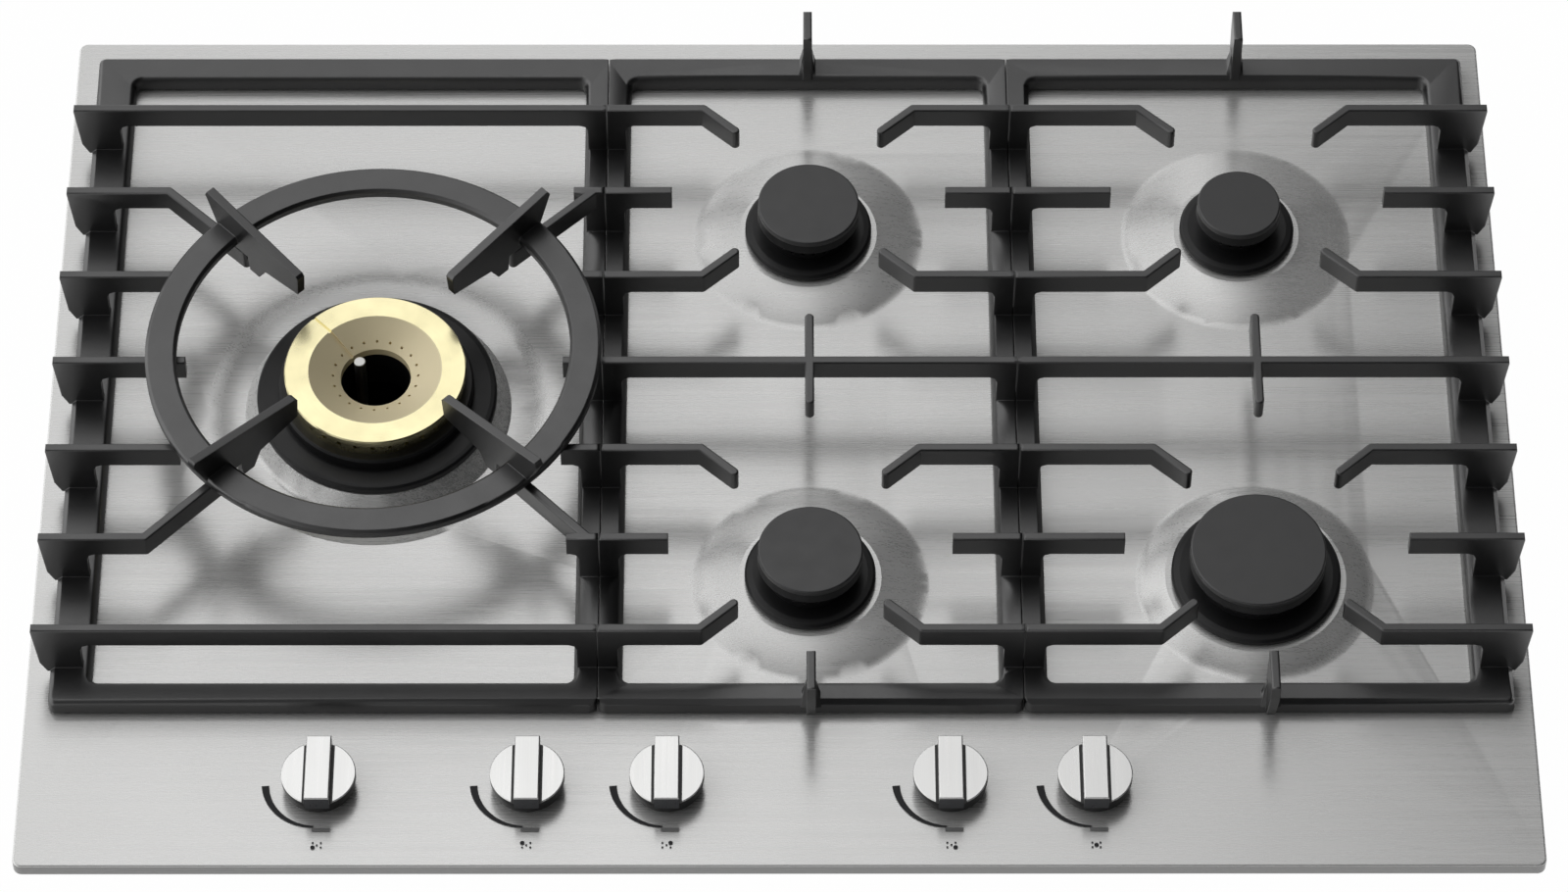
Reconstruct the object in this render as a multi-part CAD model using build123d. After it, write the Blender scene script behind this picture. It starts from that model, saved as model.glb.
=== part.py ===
"""Five-burner gas cooktop: steel plate, burner box, taps, burners and cast-iron pan supports.

Millimetres, +Z up, +Y to the rear. X = 0 and Y = 0 are the middle of the plate, and Z = 0 is
the underside of the burner box.
"""
import os
from dataclasses import dataclass
from math import cos, pi, radians, sin, sqrt

from build123d import *

# Plate
PLATE_LENGTH = 750.0
PLATE_DEPTH = 520.0
PLATE_CORNER = 4.5
SHEET = 1.2
RIM_HEIGHT = 7.0
RIM_EDGE_RADIUS = 1.1
RIM_LIP = 14.0
SEAL_WIDTH = 10.0
SEAL_THICKNESS = 2.0
SEAT_HEIGHT = 40.0
PLATE_TOP = SEAT_HEIGHT + RIM_HEIGHT
PLATE_UNDER = PLATE_TOP - SHEET

# Clearances
PRESS = 0.05
LOOSE = 0.15
FREE = 0.4

# Pan supports
COOKING_HEIGHT = 42.0
COOKING_PLANE = PLATE_TOP + COOKING_HEIGHT
BAR_TOP = 10.0
BAR_LOW = 1.5
BAR_DRAFT = 4.0
BAR_EDGE = 2.8
EDGE_SLOPE = 45.0
BAR_ROOT = 3.0
KNOB_FROM_FRONT = 46.5
KNOB_Y = -PLATE_DEPTH / 2 + KNOB_FROM_FRONT
FRAME_FRONT = KNOB_Y + 42.2
FRAME_REAR = PLATE_DEPTH / 2 - 16.4
FRONT_BAR = 14.0
REAR_BAR = 16.4
LEFT_EDGE = 12.0 - PLATE_LENGTH / 2
RIGHT_EDGE = PLATE_LENGTH / 2 - 9.8
OUTER_BAR = 20.7
SEAM_BAR = 11.6
LEFT_SEAM = (-90.8, -89.8)
RIGHT_SEAM = (120.9, 121.9)
FRAME_CORNER = 4.0
FRAME_INNER_CORNER = 4.0
BLADE = 4.6
BLADE_DEPTH = 12.5
BLADE_EDGE = 0.9
BLADE_ROUNDING = 4.0
TIP_OVERHANG = 6.8
GUSSET_SHOULDER = 4.4
GUSSET_FOOT = 1.0
OUTER_POST_INSET = 4.0
FRONT_ROW_INSET = 23.8
REAR_ROW_INSET = 61.7
ROW_PITCH = (FRAME_REAR - REAR_ROW_INSET - FRAME_FRONT - FRONT_ROW_INSET) / 6
MIDDLE_ROW = FRAME_FRONT + FRONT_ROW_INSET + 3 * ROW_PITCH
ROWS = [MIDDLE_ROW + ROW_PITCH * step for step in (3, 2, 1, 0, -1, -2, -3)]
STUB_END = 71.0
BEND_OFFSET = 55.0
FINGER_TIP = (38.3, 40.0)
DIAGONAL = 45.0
WOK_BEND_OFFSET = 110.5
WOK_FINGER_RADIUS = 97.5
WOK_STUB_END = 96.0
LONG_FINGER = (MIDDLE_ROW - 25.3, MIDDLE_ROW + 27.2)
REAR_POST_TIP = FRAME_REAR + 4.0
FRONT_POST_TIP = FRAME_FRONT - 12.7
FRONT_POST_FOOT = FRAME_FRONT - 2.5
FRONT_POST_END = FRAME_FRONT + 10.0
POST_FLARE = 10.0
POST_FLARE_HEIGHT = 16.0
FOOT_RADIUS = 4.0
FOOT_SEAT = 4.0
FOOT_INSET = 26.0

# Burner places
WOK_X = (LEFT_SEAM[0] + LEFT_EDGE) / 2 + 20.75
WOK_Y = MIDDLE_ROW + 2.0
CENTRE_X = (LEFT_SEAM[1] + RIGHT_SEAM[0]) / 2
RIGHT_GRATE_X = (RIGHT_SEAM[1] + RIGHT_EDGE) / 2
RIGHT_X = RIGHT_GRATE_X - 3.75

# Burners
DOME_RADIUS = 60.5
DOME_RISE = 6.0
DOME_CROWNING = 0.6
DOME_LAND = 3.0
DOME_SEAT = 2.5
DOME_TOP = PLATE_TOP + DOME_RISE
FLANGE_THICKNESS = 5.0
FLANGE_TOP = DOME_TOP + FLANGE_THICKNESS
RAPID_CUP = 28.0
CUP_WALL = 3.0
CUP_FLOOR_TOP = 13.0
CUP_FLOOR = 3.0
CROWN_WALL = 3.0
CROWN_HEIGHT = 11.0
CROWN_HEAD = 5.6
CROWN_HEAD_TOP_STEP = 1.6
CROWN_HEAD_LOW_STEP = 0.2
CROWN_FLOOR = 2.0
CROWN_SKIRT = 6.0
SKIRT_WALL = 2.0
VENTURI_RADIUS = 7.5
VENTURI_LENGTH = 18.0
VENTURI_WALL = 1.5
VENTURI_MARGIN = 6.0
PORT_WIDTH = 1.8
PORT_LOW = 3.0
PORT_HEIGHT = 5.0
PORT_SPACING = 5.7
CAP_THICKNESS = 2.9
CAP_EDGE = 0.9
CAP_RIB = 2.0

# Wok burner
TROUGH_RADIUS = 88.0
TROUGH_DROP = 3.6
TROUGH_FLAT_OUTER = 80.0
TROUGH_FLAT_INNER = 68.5
COLLAR_RADIUS = 66.0
COLLAR_TOP_RADIUS = 61.0
COLLAR_HOLE_RADIUS = 57.0
COLLAR_RISE = 6.0
COLLAR_TOP = PLATE_TOP + COLLAR_RISE
WOK_FLANGE_RADIUS = 61.5
WOK_FLANGE_THICKNESS = 6.5
WOK_FLANGE_TOP = COLLAR_TOP + WOK_FLANGE_THICKNESS
WOK_CUP_RADIUS = 48.0
WOK_CROWN_RADIUS = 50.0
WOK_CROWN_THICKNESS = 7.0
WOK_HOLE_RADIUS = 18.0
WOK_TUBE_WALL = 2.0
RING_LIP_RADIUS = 46.5
RING_WALL_RADIUS = 45.0
RING_WALL = 3.0
RING_INNER_RADIUS = 34.0
RING_HEIGHT = 11.5
RING_CONE_DROP = 7.0
RING_LIP_HEIGHT = 3.5
RING_SKIN = 3.2
RING_HOLE_WALL = 2.5
RING_PORT_RADIUS = 1.2
RING_PORT_HEIGHT = 4.5
RING_PORTS = 32
HOLE_PORTS = 20
HOLE_PORT_RADIUS = 0.7
HOLE_PORT_INSET = 3.8
GROOVE_WIDTH = 2.0
GROOVE_DEPTH = 1.4
GROOVE_ANGLE = 135.0
WOK_SCREW_OFFSET = 24.0
WOK_SCREW_PLACES = (
    (WOK_X - WOK_SCREW_OFFSET, WOK_Y + WOK_SCREW_OFFSET),
    (WOK_X + WOK_SCREW_OFFSET, WOK_Y + WOK_SCREW_OFFSET),
)

# Burner box
BOX_LENGTH = 2 * (RIGHT_X + RAPID_CUP + 6.2)
BOX_DEPTH = PLATE_DEPTH - 2 * 34.0
BOX_SHEET = 1.0
BOX_CORNER = 6.0
BOX_FLANGE = 12.0
BOX_INNER_X = BOX_LENGTH / 2 - BOX_SHEET
BOX_INNER_REAR = BOX_DEPTH / 2 - BOX_SHEET
STUD_RADIUS = 2.0
STUD_LENGTH = 8.0
NUT_WIDTH = 7.0
NUT_HEIGHT = 3.2
STUD_ALONG = BOX_LENGTH / 2 - 94.0
STUD_ACROSS = BOX_DEPTH / 2 - 26.0

# Worktop clamps
CLAMP_WIDTH = 20.0
CLAMP_REACH = 26.0
CLAMP_SHEET = 1.5
CLAMP_FREE_HEIGHT = 6.0
WORKTOP_THICKNESS = 30.0
CLAMP_SCREW_HEIGHT = 20.0
CLAMP_SCREW_RADIUS = 2.5
CLAMP_SCREW_LENGTH = 7.0
CLAMP_HEAD_RADIUS = 4.5
CLAMP_HEAD_HEIGHT = 3.0
CLAMP_NUT_WIDTH = 8.0
CLAMP_NUT_HEIGHT = 4.0
CLAMP_SLOT_LENGTH = 14.0
CLAMP_PLACES = (-BOX_DEPTH / 2 + 76.0, BOX_DEPTH / 2 - 76.0)

# Taps, rail and pipes, the taps from the left
TAP_ORDER = ("wok", "semirapid_rear", "semirapid_front", "aux", "rapid")
KNOB_X = (WOK_X - 20.35, -124.0, -55.4, 84.0, 155.0)
TAP_WIDTH = 26.0
TAP_DEPTH = 22.0
TAP_CORNER = 3.0
TAP_TOP = 30.0
TAP_REAR = KNOB_Y + TAP_DEPTH / 2
TAP_BORE_RADIUS = 6.0
TAP_BORE_FLOOR = 9.0
PLUG_TOP = 25.0
PLUG_SOCKET_FLOOR = 18.5
PLUG_PASSAGE_RADIUS = 1.8
SIDE_PASSAGE_RADIUS = 1.5
BONNET_DEPTH = 18.0
BONNET_THICKNESS = 2.0
BONNET_NECK_RADIUS = 6.0
BONNET_NECK_HEIGHT = 3.0
TAP_SCREW_OFFSET = 9.5
TAP_SCREW_RADIUS = 1.5
TAP_SCREW_LENGTH = 8.0
TAP_SCREW_HEAD = (2.7, 2.0)
SPRING_WIRE = 0.8
SPRING_RADIUS = 4.3
SPRING_TURNS = 3
STEM_RADIUS = 3.0
STEM_FLAT = 2.2
STEM_LOW = 22.0
RAIL_RADIUS = 7.0
RAIL_WALL = 1.5
RAIL_HEIGHT = 15.5
RAIL_Y = TAP_REAR + 1.0 + RAIL_RADIUS
RAIL_START = KNOB_X[0] - 23.5
SUPPLY_X = RIGHT_X - 44.8
SUPPLY_BEND = 25.0
SPIGOT_RADIUS = 3.0
PIPE_RADIUS = 3.0
PIPE_WALL = 0.8
PIPE_HEIGHT = 5.0
PIPE_BEND = 18.0
PIPE_SOCKET = 4.0
PIPE_INSERT = 3.5
WOK_PIPE_SPACING = 12.0

# Gas inlet, G 1/2 thread
INLET_RADIUS = 10.48
INLET_BODY_RADIUS = 12.0
INLET_BODY_LENGTH = 16.0
INLET_SOCKET = 9.0
INLET_STUB = 20.0
INLET_NECK_RADIUS = 10.2
INLET_BORE = 5.5
INLET_NUT_WIDTH = 26.0
INLET_NUT_HEIGHT = 4.0

# Injectors, brackets and base screws
HOLDER_HALF = 7.0
WOK_INJECTOR_SETBACK = 16.0
WOK_HOLDER_EXTRA = 1.0
INJECTOR_WIDTH = 9.0
INJECTOR_BODY = 4.0
INJECTOR_NOZZLE = 4.0
NOZZLE_RADIUS = 2.5
JET_RADIUS = 0.9
BRACKET_SHEET = 1.5
BRACKET_MARGIN = 2.0
BASE_SCREW_OFFSET = 13.0
BASE_SCREW_RADIUS = 1.5
BASE_SCREW_HEAD = (3.0, 1.8)

# Electrodes and thermocouples
SPARK_ANGLE = 105.0
THERMOCOUPLE_ANGLE = 75.0
INSULATOR_RADIUS = 2.2
INSULATOR_LOW = 36.0
INSULATOR_ABOVE_PLATE = 15.0
PIN_RADIUS = 0.8
PIN_TIP_RADIUS = 1.3
PIN_ABOVE_PLATE = 20.5
PIN_SEAT = 6.0
PROBE_RADIUS = 1.6
PROBE_LOW = 38.0
PROBE_ABOVE_PLATE = 19.0
LEAD_RADIUS = 0.8
PROBE_LEAD_HEIGHT = 26.0
PROBE_LANE_INSET = 4.0
WOK_LEAD_HEIGHT = 4.2
WOK_LEAD_INSET = 1.5
WOK_LEAD_TURN = 20.0
SPARK_LEAD_HEIGHT = 33.0
SPARK_LEAD_STEP = 4.0
SPARK_LEAD_BEND = 1.0
PROBE_LEAD_BEND = 2.4
WOK_PIN_OFFSET = (-8.4, 8.7)
WOK_PIN_ABOVE_PLATE = 26.0
WOK_SHIELD_RADIUS = 3.0
WOK_SHIELD_LENGTH = 32.0
WOK_SHIELD_TOP = 1.0
WOK_PROBE_OFFSET = (2.0, -12.0)
WOK_PROBE_ABOVE_PLATE = 11.0

# Ignition module and mains terminal block
MODULE_X = -60.0
MODULE_SIZE = (74.0, 44.0, 23.0)
MODULE_Y = BOX_INNER_REAR - 6.0 - MODULE_SIZE[1] / 2
MODULE_PITCH = 13.0
MODULE_LANE = -14.0
RAPID_LEAD_X = 120.0
RAPID_LEAD_LANE = 8.0
TERMINAL_X = -190.0
TERMINAL_SIZE = (40.0, 26.0, 20.0)
TERMINAL_ENTRY = (22.0, 14.0)
TERMINAL_ENTRY_LOW = 3.0
TERMINAL_MOUTH = (5.0, 12.0)

# Knobs and stem gaskets
KNOB_PUSH = 3.0
GASKET_LIP = 0.5
KNOB_GAP = KNOB_PUSH + GASKET_LIP + FREE
KNOB_RADIUS = 18.4
KNOB_SKIRT_RADIUS = 17.7
KNOB_SKIRT_TOP = 8.5
KNOB_DISC_TOP = 12.0
KNOB_TOP = 17.5
KNOB_EDGE = 0.5
GRIP_WIDTH = 12.2
GRIP_EDGE = 0.6
GRIP_GROOVE = 1.5
GRIP_GROOVE_DEPTH = 1.2
KNOB_BORE_TOP = 13.5
STEM_TOP = 13.0
GASKET_RADIUS = 7.0
GASKET_NECK = 5.0

# Wok stand
STAND_CLEARANCE = 0.5
STAND_OUTER = LEFT_SEAM[1] - STAND_CLEARANCE - WOK_X
STAND_INNER = 100.0
STAND_RING_TOP = 51.0
STAND_RING_EDGE = 1.5
STAND_RING_CHAMFER = (3.0, 4.2)
STAND_PEAK_RADIUS = 123.0
STAND_PEAK = 70.0
STAND_TIP_RADIUS = 53.5
STAND_TIP = 59.0
STAND_TIP_LOW = 45.5
STAND_LUG = (84.0, 93.0)
STAND_LUG_LOW = 32.0


@dataclass(frozen=True)
class Burner:
    """The sizes of one capped burner, from its cup up to its cap."""
    x: float
    y: float
    cup: float
    flange: float
    wall: float
    cap: float
    probe: float


SEMIRAPID = {"x": CENTRE_X, "cup": 24.0, "flange": 33.0, "wall": 22.0, "cap": 26.4, "probe": 28.2}
BURNERS = {
    "semirapid_rear": Burner(y=ROWS[1], **SEMIRAPID),
    "semirapid_front": Burner(y=ROWS[5], **SEMIRAPID),
    "rapid": Burner(x=RIGHT_X, y=ROWS[5], cup=RAPID_CUP, flange=42.6, wall=29.5, cap=34.0, probe=37.5),
    "aux": Burner(x=RIGHT_X, y=ROWS[1], cup=19.0, flange=29.8, wall=17.0, cap=21.6, probe=24.5),
}


def block(x_span, y_span, z_span):
    """A box between the given low and high values on each axis."""
    low = (x_span[0], y_span[0], z_span[0])
    size = (x_span[1] - x_span[0], y_span[1] - y_span[0], z_span[1] - z_span[0])
    return Pos(*low) * Box(*size, align=(Align.MIN, Align.MIN, Align.MIN))


def slab(length, width, corner, low, high):
    """A flat block with rounded upright edges, centred on X and Y."""
    return Pos(0, 0, low) * extrude(RectangleRounded(length, width, corner), high - low)


def post(radius, low, high, x=0.0, y=0.0):
    """An upright round bar."""
    return Pos(x, y, low) * extrude(Circle(radius), high - low)


def hex_post(width, low, high, x=0.0, y=0.0):
    """An upright hexagon bar, given across its flats."""
    return Pos(x, y, low) * extrude(RegularPolygon(width / sqrt(3), 6), high - low)


def turned(points, x=0.0, y=0.0):
    """A solid turned about an upright axis from its half section in (radius, height)."""
    section = Plane.XZ * make_face(Polyline(*points, close=True))
    return Pos(x, y, 0) * revolve(section, Axis.Z)


def ring_points(count, radius, x, y, start=0.0):
    """Places evenly spaced round a circle, each with its angle in degrees."""
    places = []
    for step in range(count):
        angle = start + 360.0 * step / count
        places.append((x + radius * cos(radians(angle)), y + radius * sin(radians(angle)), angle))
    return places


def tube(points, bend, outer, inner=0.0):
    """A round tube along straight runs with arcs at the corners."""
    path = FilletPolyline(*points, radius=bend) if len(points) > 2 else Line(*points)
    start = Plane(origin=path @ 0, z_dir=path % 0)
    body = sweep(start * Circle(outer), path=path)
    if inner:
        body -= sweep(start * Circle(inner), path=path)
    return body


def soften_top(body, radius):
    """Rounds the upper edges of a prism."""
    return fillet(body.faces().sort_by(Axis.Z)[-1].edges(), radius)


# Plate, rim seal and burner box


def dome(burner):
    """The raised cone of sheet that carries one burner."""
    land = burner.flange + DOME_LAND
    hole = burner.flange - DOME_SEAT
    middle = (DOME_RADIUS + land) / 2
    rise = DOME_RISE / 2 + DOME_CROWNING
    profile = [
        ThreePointArc((DOME_RADIUS, PLATE_TOP), (middle, PLATE_TOP + rise), (land, DOME_TOP)),
        Line((land, DOME_TOP), (hole, DOME_TOP)),
        Line((hole, DOME_TOP), (hole, DOME_TOP - SHEET)),
        Line((hole, DOME_TOP - SHEET), (land, DOME_TOP - SHEET)),
        ThreePointArc((land, DOME_TOP - SHEET), (middle, PLATE_UNDER + rise),
                      (DOME_RADIUS, PLATE_UNDER)),
        Line((DOME_RADIUS, PLATE_UNDER), (DOME_RADIUS, PLATE_TOP)),
    ]
    section = Plane.XZ * make_face(profile)
    return Pos(burner.x, burner.y, 0) * revolve(section, Axis.Z)


def trough():
    """The pressed ring of sheet that carries the wok burner."""
    low = PLATE_TOP - TROUGH_DROP
    upper = [
        (TROUGH_RADIUS, PLATE_TOP),
        (TROUGH_FLAT_OUTER, low),
        (TROUGH_FLAT_INNER, low),
        (COLLAR_RADIUS, low + 1.5),
        (COLLAR_TOP_RADIUS, COLLAR_TOP),
        (COLLAR_HOLE_RADIUS, COLLAR_TOP),
    ]
    lower = [
        (COLLAR_HOLE_RADIUS, COLLAR_TOP - SHEET),
        (COLLAR_TOP_RADIUS - SHEET, COLLAR_TOP - SHEET),
        (COLLAR_RADIUS - SHEET, low + 1.0),
        (TROUGH_FLAT_INNER - SHEET, low - SHEET),
        (TROUGH_FLAT_OUTER, low - SHEET),
        (TROUGH_RADIUS, PLATE_UNDER),
    ]
    return turned(upper + lower, WOK_X, WOK_Y)


def stud_places():
    """Where the plate's studs pass through the box flange."""
    side = BOX_LENGTH / 2 + BOX_FLANGE / 2
    end = BOX_DEPTH / 2 + BOX_FLANGE / 2
    places = []
    for sign in (-1, 1):
        places += [(along, sign * end) for along in (-STUD_ALONG, STUD_ALONG)]
        places += [(sign * side, across) for across in (-STUD_ACROSS, STUD_ACROSS)]
    return places


def top_plate():
    """The steel plate with its folded rim, domes, trough, stem holes and studs."""
    plate = slab(PLATE_LENGTH, PLATE_DEPTH, PLATE_CORNER, SEAT_HEIGHT, PLATE_TOP)
    plate = soften_top(plate, RIM_EDGE_RADIUS)
    inner_length = PLATE_LENGTH - 2 * SHEET
    inner_depth = PLATE_DEPTH - 2 * SHEET
    plate -= slab(inner_length, inner_depth, PLATE_CORNER - SHEET, SEAT_HEIGHT, PLATE_UNDER)
    lip_low = SEAT_HEIGHT + SEAL_THICKNESS
    lip = slab(inner_length, inner_depth, PLATE_CORNER - SHEET, lip_low, lip_low + SHEET)
    lip -= slab(inner_length - 2 * RIM_LIP, inner_depth - 2 * RIM_LIP, 2.0, lip_low, lip_low + SHEET)
    plate += lip
    cuts = [post(DOME_RADIUS, PLATE_UNDER, PLATE_TOP, b.x, b.y) for b in BURNERS.values()]
    cuts.append(post(TROUGH_RADIUS, PLATE_UNDER, PLATE_TOP, WOK_X, WOK_Y))
    cuts += [post(GASKET_NECK, PLATE_UNDER, PLATE_TOP, x, KNOB_Y) for x in KNOB_X]
    plate -= cuts
    plate += [dome(burner) for burner in BURNERS.values()] + [trough()]
    studs = [post(STUD_RADIUS, PLATE_UNDER - STUD_LENGTH, PLATE_UNDER, *p) for p in stud_places()]
    return plate + studs


def rim_seal():
    """The foam strip between the rim's lip and the worktop."""
    length = PLATE_LENGTH - 2 * SHEET - FREE
    depth = PLATE_DEPTH - 2 * SHEET - FREE
    top = SEAT_HEIGHT + SEAL_THICKNESS
    seal = slab(length, depth, PLATE_CORNER - SHEET, SEAT_HEIGHT, top)
    return seal - slab(length - 2 * SEAL_WIDTH, depth - 2 * SEAL_WIDTH, 2.0, SEAT_HEIGHT, top)


def burner_box():
    """The sheet tray under the plate, with a flange that the plate's studs pass through."""
    box = slab(BOX_LENGTH, BOX_DEPTH, BOX_CORNER, 0, PLATE_UNDER)
    box += slab(BOX_LENGTH + 2 * BOX_FLANGE, BOX_DEPTH + 2 * BOX_FLANGE, BOX_CORNER,
                PLATE_UNDER - BOX_SHEET, PLATE_UNDER)
    box -= slab(BOX_LENGTH - 2 * BOX_SHEET, BOX_DEPTH - 2 * BOX_SHEET, BOX_CORNER - BOX_SHEET,
                BOX_SHEET, PLATE_UNDER)
    cuts = [post(STUD_RADIUS + PRESS, PLATE_UNDER - BOX_SHEET, PLATE_UNDER, *p) for p in stud_places()]
    across = Rot(0, 90, 0) * post(CLAMP_SCREW_RADIUS + PRESS, -BOX_LENGTH, BOX_LENGTH)
    cuts += [Pos(0, y, CLAMP_SCREW_HEIGHT) * across for y in CLAMP_PLACES]
    back = Rot(-90, 0, 0) * post(INLET_RADIUS + PRESS, BOX_INNER_REAR, BOX_DEPTH / 2)
    cuts.append(Pos(SUPPLY_X, 0, RAIL_HEIGHT) * back)
    cuts.append(terminal_entry(PRESS))
    trough_low = PLATE_TOP - TROUGH_DROP - SHEET - FREE
    cuts.append(post(TROUGH_RADIUS + FREE, trough_low, PLATE_UNDER, WOK_X, WOK_Y))
    return box - cuts


def box_nuts():
    """The nuts that hold the box to the plate."""
    top = PLATE_UNDER - BOX_SHEET
    nuts = []
    for place in stud_places():
        nut = hex_post(NUT_WIDTH, top - NUT_HEIGHT, top, *place)
        nuts.append(nut - post(STUD_RADIUS + PRESS, top - NUT_HEIGHT, top, *place))
    return nuts


def worktop_clamps():
    """The angle brackets on the box sides that grip the worktop from below."""
    grip_top = SEAT_HEIGHT - WORKTOP_THICKNESS
    side = BOX_LENGTH / 2
    clamps = []
    for y in CLAMP_PLACES:
        span = (y - CLAMP_WIDTH / 2, y + CLAMP_WIDTH / 2)
        leg_top = SEAT_HEIGHT - CLAMP_FREE_HEIGHT
        leg = block((side, side + CLAMP_SHEET), span, (grip_top - CLAMP_SHEET, leg_top))
        leg += block((side, side + CLAMP_REACH), span, (grip_top - CLAMP_SHEET, grip_top))
        slot = Plane.YZ * SlotOverall(CLAMP_SLOT_LENGTH, 2 * CLAMP_SCREW_RADIUS + FREE, rotation=90)
        leg -= Pos(side, y, CLAMP_SCREW_HEIGHT) * extrude(slot, CLAMP_SHEET)
        clamps += [leg, mirror(leg, Plane.YZ)]
    return clamps


def clamp_screws():
    """The screws of the worktop clamps, with their nuts inside the box."""
    side = BOX_LENGTH / 2
    seat = side + CLAMP_SHEET
    screws = []
    for y in CLAMP_PLACES:
        shank = post(CLAMP_SCREW_RADIUS, side - CLAMP_SCREW_LENGTH, seat)
        head = post(CLAMP_HEAD_RADIUS, seat, seat + CLAMP_HEAD_HEIGHT)
        nut = hex_post(CLAMP_NUT_WIDTH, BOX_INNER_X - CLAMP_NUT_HEIGHT, BOX_INNER_X)
        screw = Pos(0, y, CLAMP_SCREW_HEIGHT) * (Rot(0, 90, 0) * (shank + head + nut))
        screws += [screw, mirror(screw, Plane.YZ)]
    return screws


# Gas way: rail, inlet, taps, pipes and injectors


def gas_rail():
    """The supply tube: along the front behind the taps, then back to the inlet."""
    rear = BOX_INNER_REAR - INLET_BODY_LENGTH + INLET_SOCKET
    corners = ((RAIL_START, RAIL_Y), (SUPPLY_X, RAIL_Y), (SUPPLY_X, rear))
    ends = [(x, y, RAIL_HEIGHT) for x, y in corners]
    rail = tube(ends, SUPPLY_BEND, RAIL_RADIUS)
    bore = [(RAIL_START + RAIL_WALL, RAIL_Y, RAIL_HEIGHT)] + ends[1:]
    rail -= tube(bore, SUPPLY_BEND, RAIL_RADIUS - RAIL_WALL)
    port = Rot(-90, 0, 0) * post(SPIGOT_RADIUS + PRESS, -RAIL_RADIUS - 1.0, -RAIL_RADIUS / 2)
    return rail - [Pos(x, RAIL_Y, RAIL_HEIGHT) * port for x in KNOB_X]


def gas_inlet():
    """The threaded gas connection through the rear wall of the box."""
    front = BOX_INNER_REAR - INLET_BODY_LENGTH
    body = post(INLET_BODY_RADIUS, front, BOX_INNER_REAR)
    thread = BOX_DEPTH / 2 + INLET_NUT_HEIGHT
    body += post(INLET_NECK_RADIUS, BOX_INNER_REAR, thread)
    body += post(INLET_RADIUS, thread, BOX_INNER_REAR + INLET_STUB)
    body -= post(INLET_BORE, front, BOX_INNER_REAR + INLET_STUB)
    body -= post(RAIL_RADIUS + PRESS, front, front + INLET_SOCKET + PRESS)
    return Pos(SUPPLY_X, 0, RAIL_HEIGHT) * (Rot(-90, 0, 0) * body)


def inlet_nut():
    """The lock nut that clamps the gas inlet to the box."""
    back = BOX_DEPTH / 2
    nut = hex_post(INLET_NUT_WIDTH, back, back + INLET_NUT_HEIGHT)
    nut -= post(INLET_NECK_RADIUS + PRESS, back, back + INLET_NUT_HEIGHT)
    return Pos(SUPPLY_X, 0, RAIL_HEIGHT) * (Rot(-90, 0, 0) * nut)


def tap_pipe_offsets(index):
    """The pipe outlets of a tap, measured sideways from its stem."""
    return (-WOK_PIPE_SPACING / 2, WOK_PIPE_SPACING / 2) if index == 0 else (0.0,)


def tap_body(index):
    """One tap body: plug bore, rail spigot, pipe sockets and screw holes."""
    x = KNOB_X[index]
    half = TAP_WIDTH / 2
    body = block((x - half, x + half), (KNOB_Y - TAP_DEPTH / 2, TAP_REAR), (BOX_SHEET, TAP_TOP))
    body = fillet(body.edges().filter_by(Axis.Z), TAP_CORNER)
    spigot = Rot(-90, 0, 0) * post(SPIGOT_RADIUS, TAP_REAR, RAIL_Y - RAIL_RADIUS + RAIL_WALL)
    body += Pos(x, 0, RAIL_HEIGHT) * spigot
    body -= post(TAP_BORE_RADIUS, TAP_BORE_FLOOR, TAP_TOP, x, KNOB_Y)
    inlet = Rot(-90, 0, 0) * post(SIDE_PASSAGE_RADIUS, KNOB_Y, RAIL_Y)
    body -= Pos(x, 0, RAIL_HEIGHT) * inlet
    body -= post(PLUG_PASSAGE_RADIUS, PIPE_HEIGHT, TAP_BORE_FLOOR, x, KNOB_Y)
    for offset in tap_pipe_offsets(index):
        socket = Rot(-90, 0, 0) * post(PIPE_RADIUS + PRESS, TAP_REAR - PIPE_SOCKET, TAP_REAR)
        way = Rot(-90, 0, 0) * post(PLUG_PASSAGE_RADIUS, KNOB_Y, TAP_REAR)
        body -= Pos(x + offset, 0, PIPE_HEIGHT) * (socket + way)
    for side in (-TAP_SCREW_OFFSET, TAP_SCREW_OFFSET):
        hole_low = TAP_TOP - TAP_SCREW_LENGTH
        body -= post(TAP_SCREW_RADIUS + PRESS, hole_low, TAP_TOP, x + side, KNOB_Y)
    return body


def tap_bonnet(x):
    """The plate that closes a tap over its plug and spring."""
    half = TAP_WIDTH / 2
    top = TAP_TOP + BONNET_THICKNESS
    depth = (KNOB_Y - BONNET_DEPTH / 2, KNOB_Y + BONNET_DEPTH / 2)
    bonnet = block((x - half, x + half), depth, (TAP_TOP, top))
    bonnet = fillet(bonnet.edges().filter_by(Axis.Z), TAP_CORNER)
    bonnet += post(BONNET_NECK_RADIUS, top, top + BONNET_NECK_HEIGHT, x, KNOB_Y)
    bonnet -= post(STEM_RADIUS + LOOSE, TAP_TOP, top + BONNET_NECK_HEIGHT, x, KNOB_Y)
    for side in (-TAP_SCREW_OFFSET, TAP_SCREW_OFFSET):
        bonnet -= post(TAP_SCREW_RADIUS + PRESS, TAP_TOP, top, x + side, KNOB_Y)
    return bonnet


def tap_screws():
    """Two screws on each tap bonnet."""
    low = TAP_TOP - TAP_SCREW_LENGTH + PRESS
    top = TAP_TOP + BONNET_THICKNESS
    head_radius, head_height = TAP_SCREW_HEAD
    screws = []
    for x in KNOB_X:
        for side in (-TAP_SCREW_OFFSET, TAP_SCREW_OFFSET):
            screw = post(TAP_SCREW_RADIUS, low, top, x + side, KNOB_Y)
            screws.append(screw + post(head_radius, top, top + head_height, x + side, KNOB_Y))
    return screws


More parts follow.
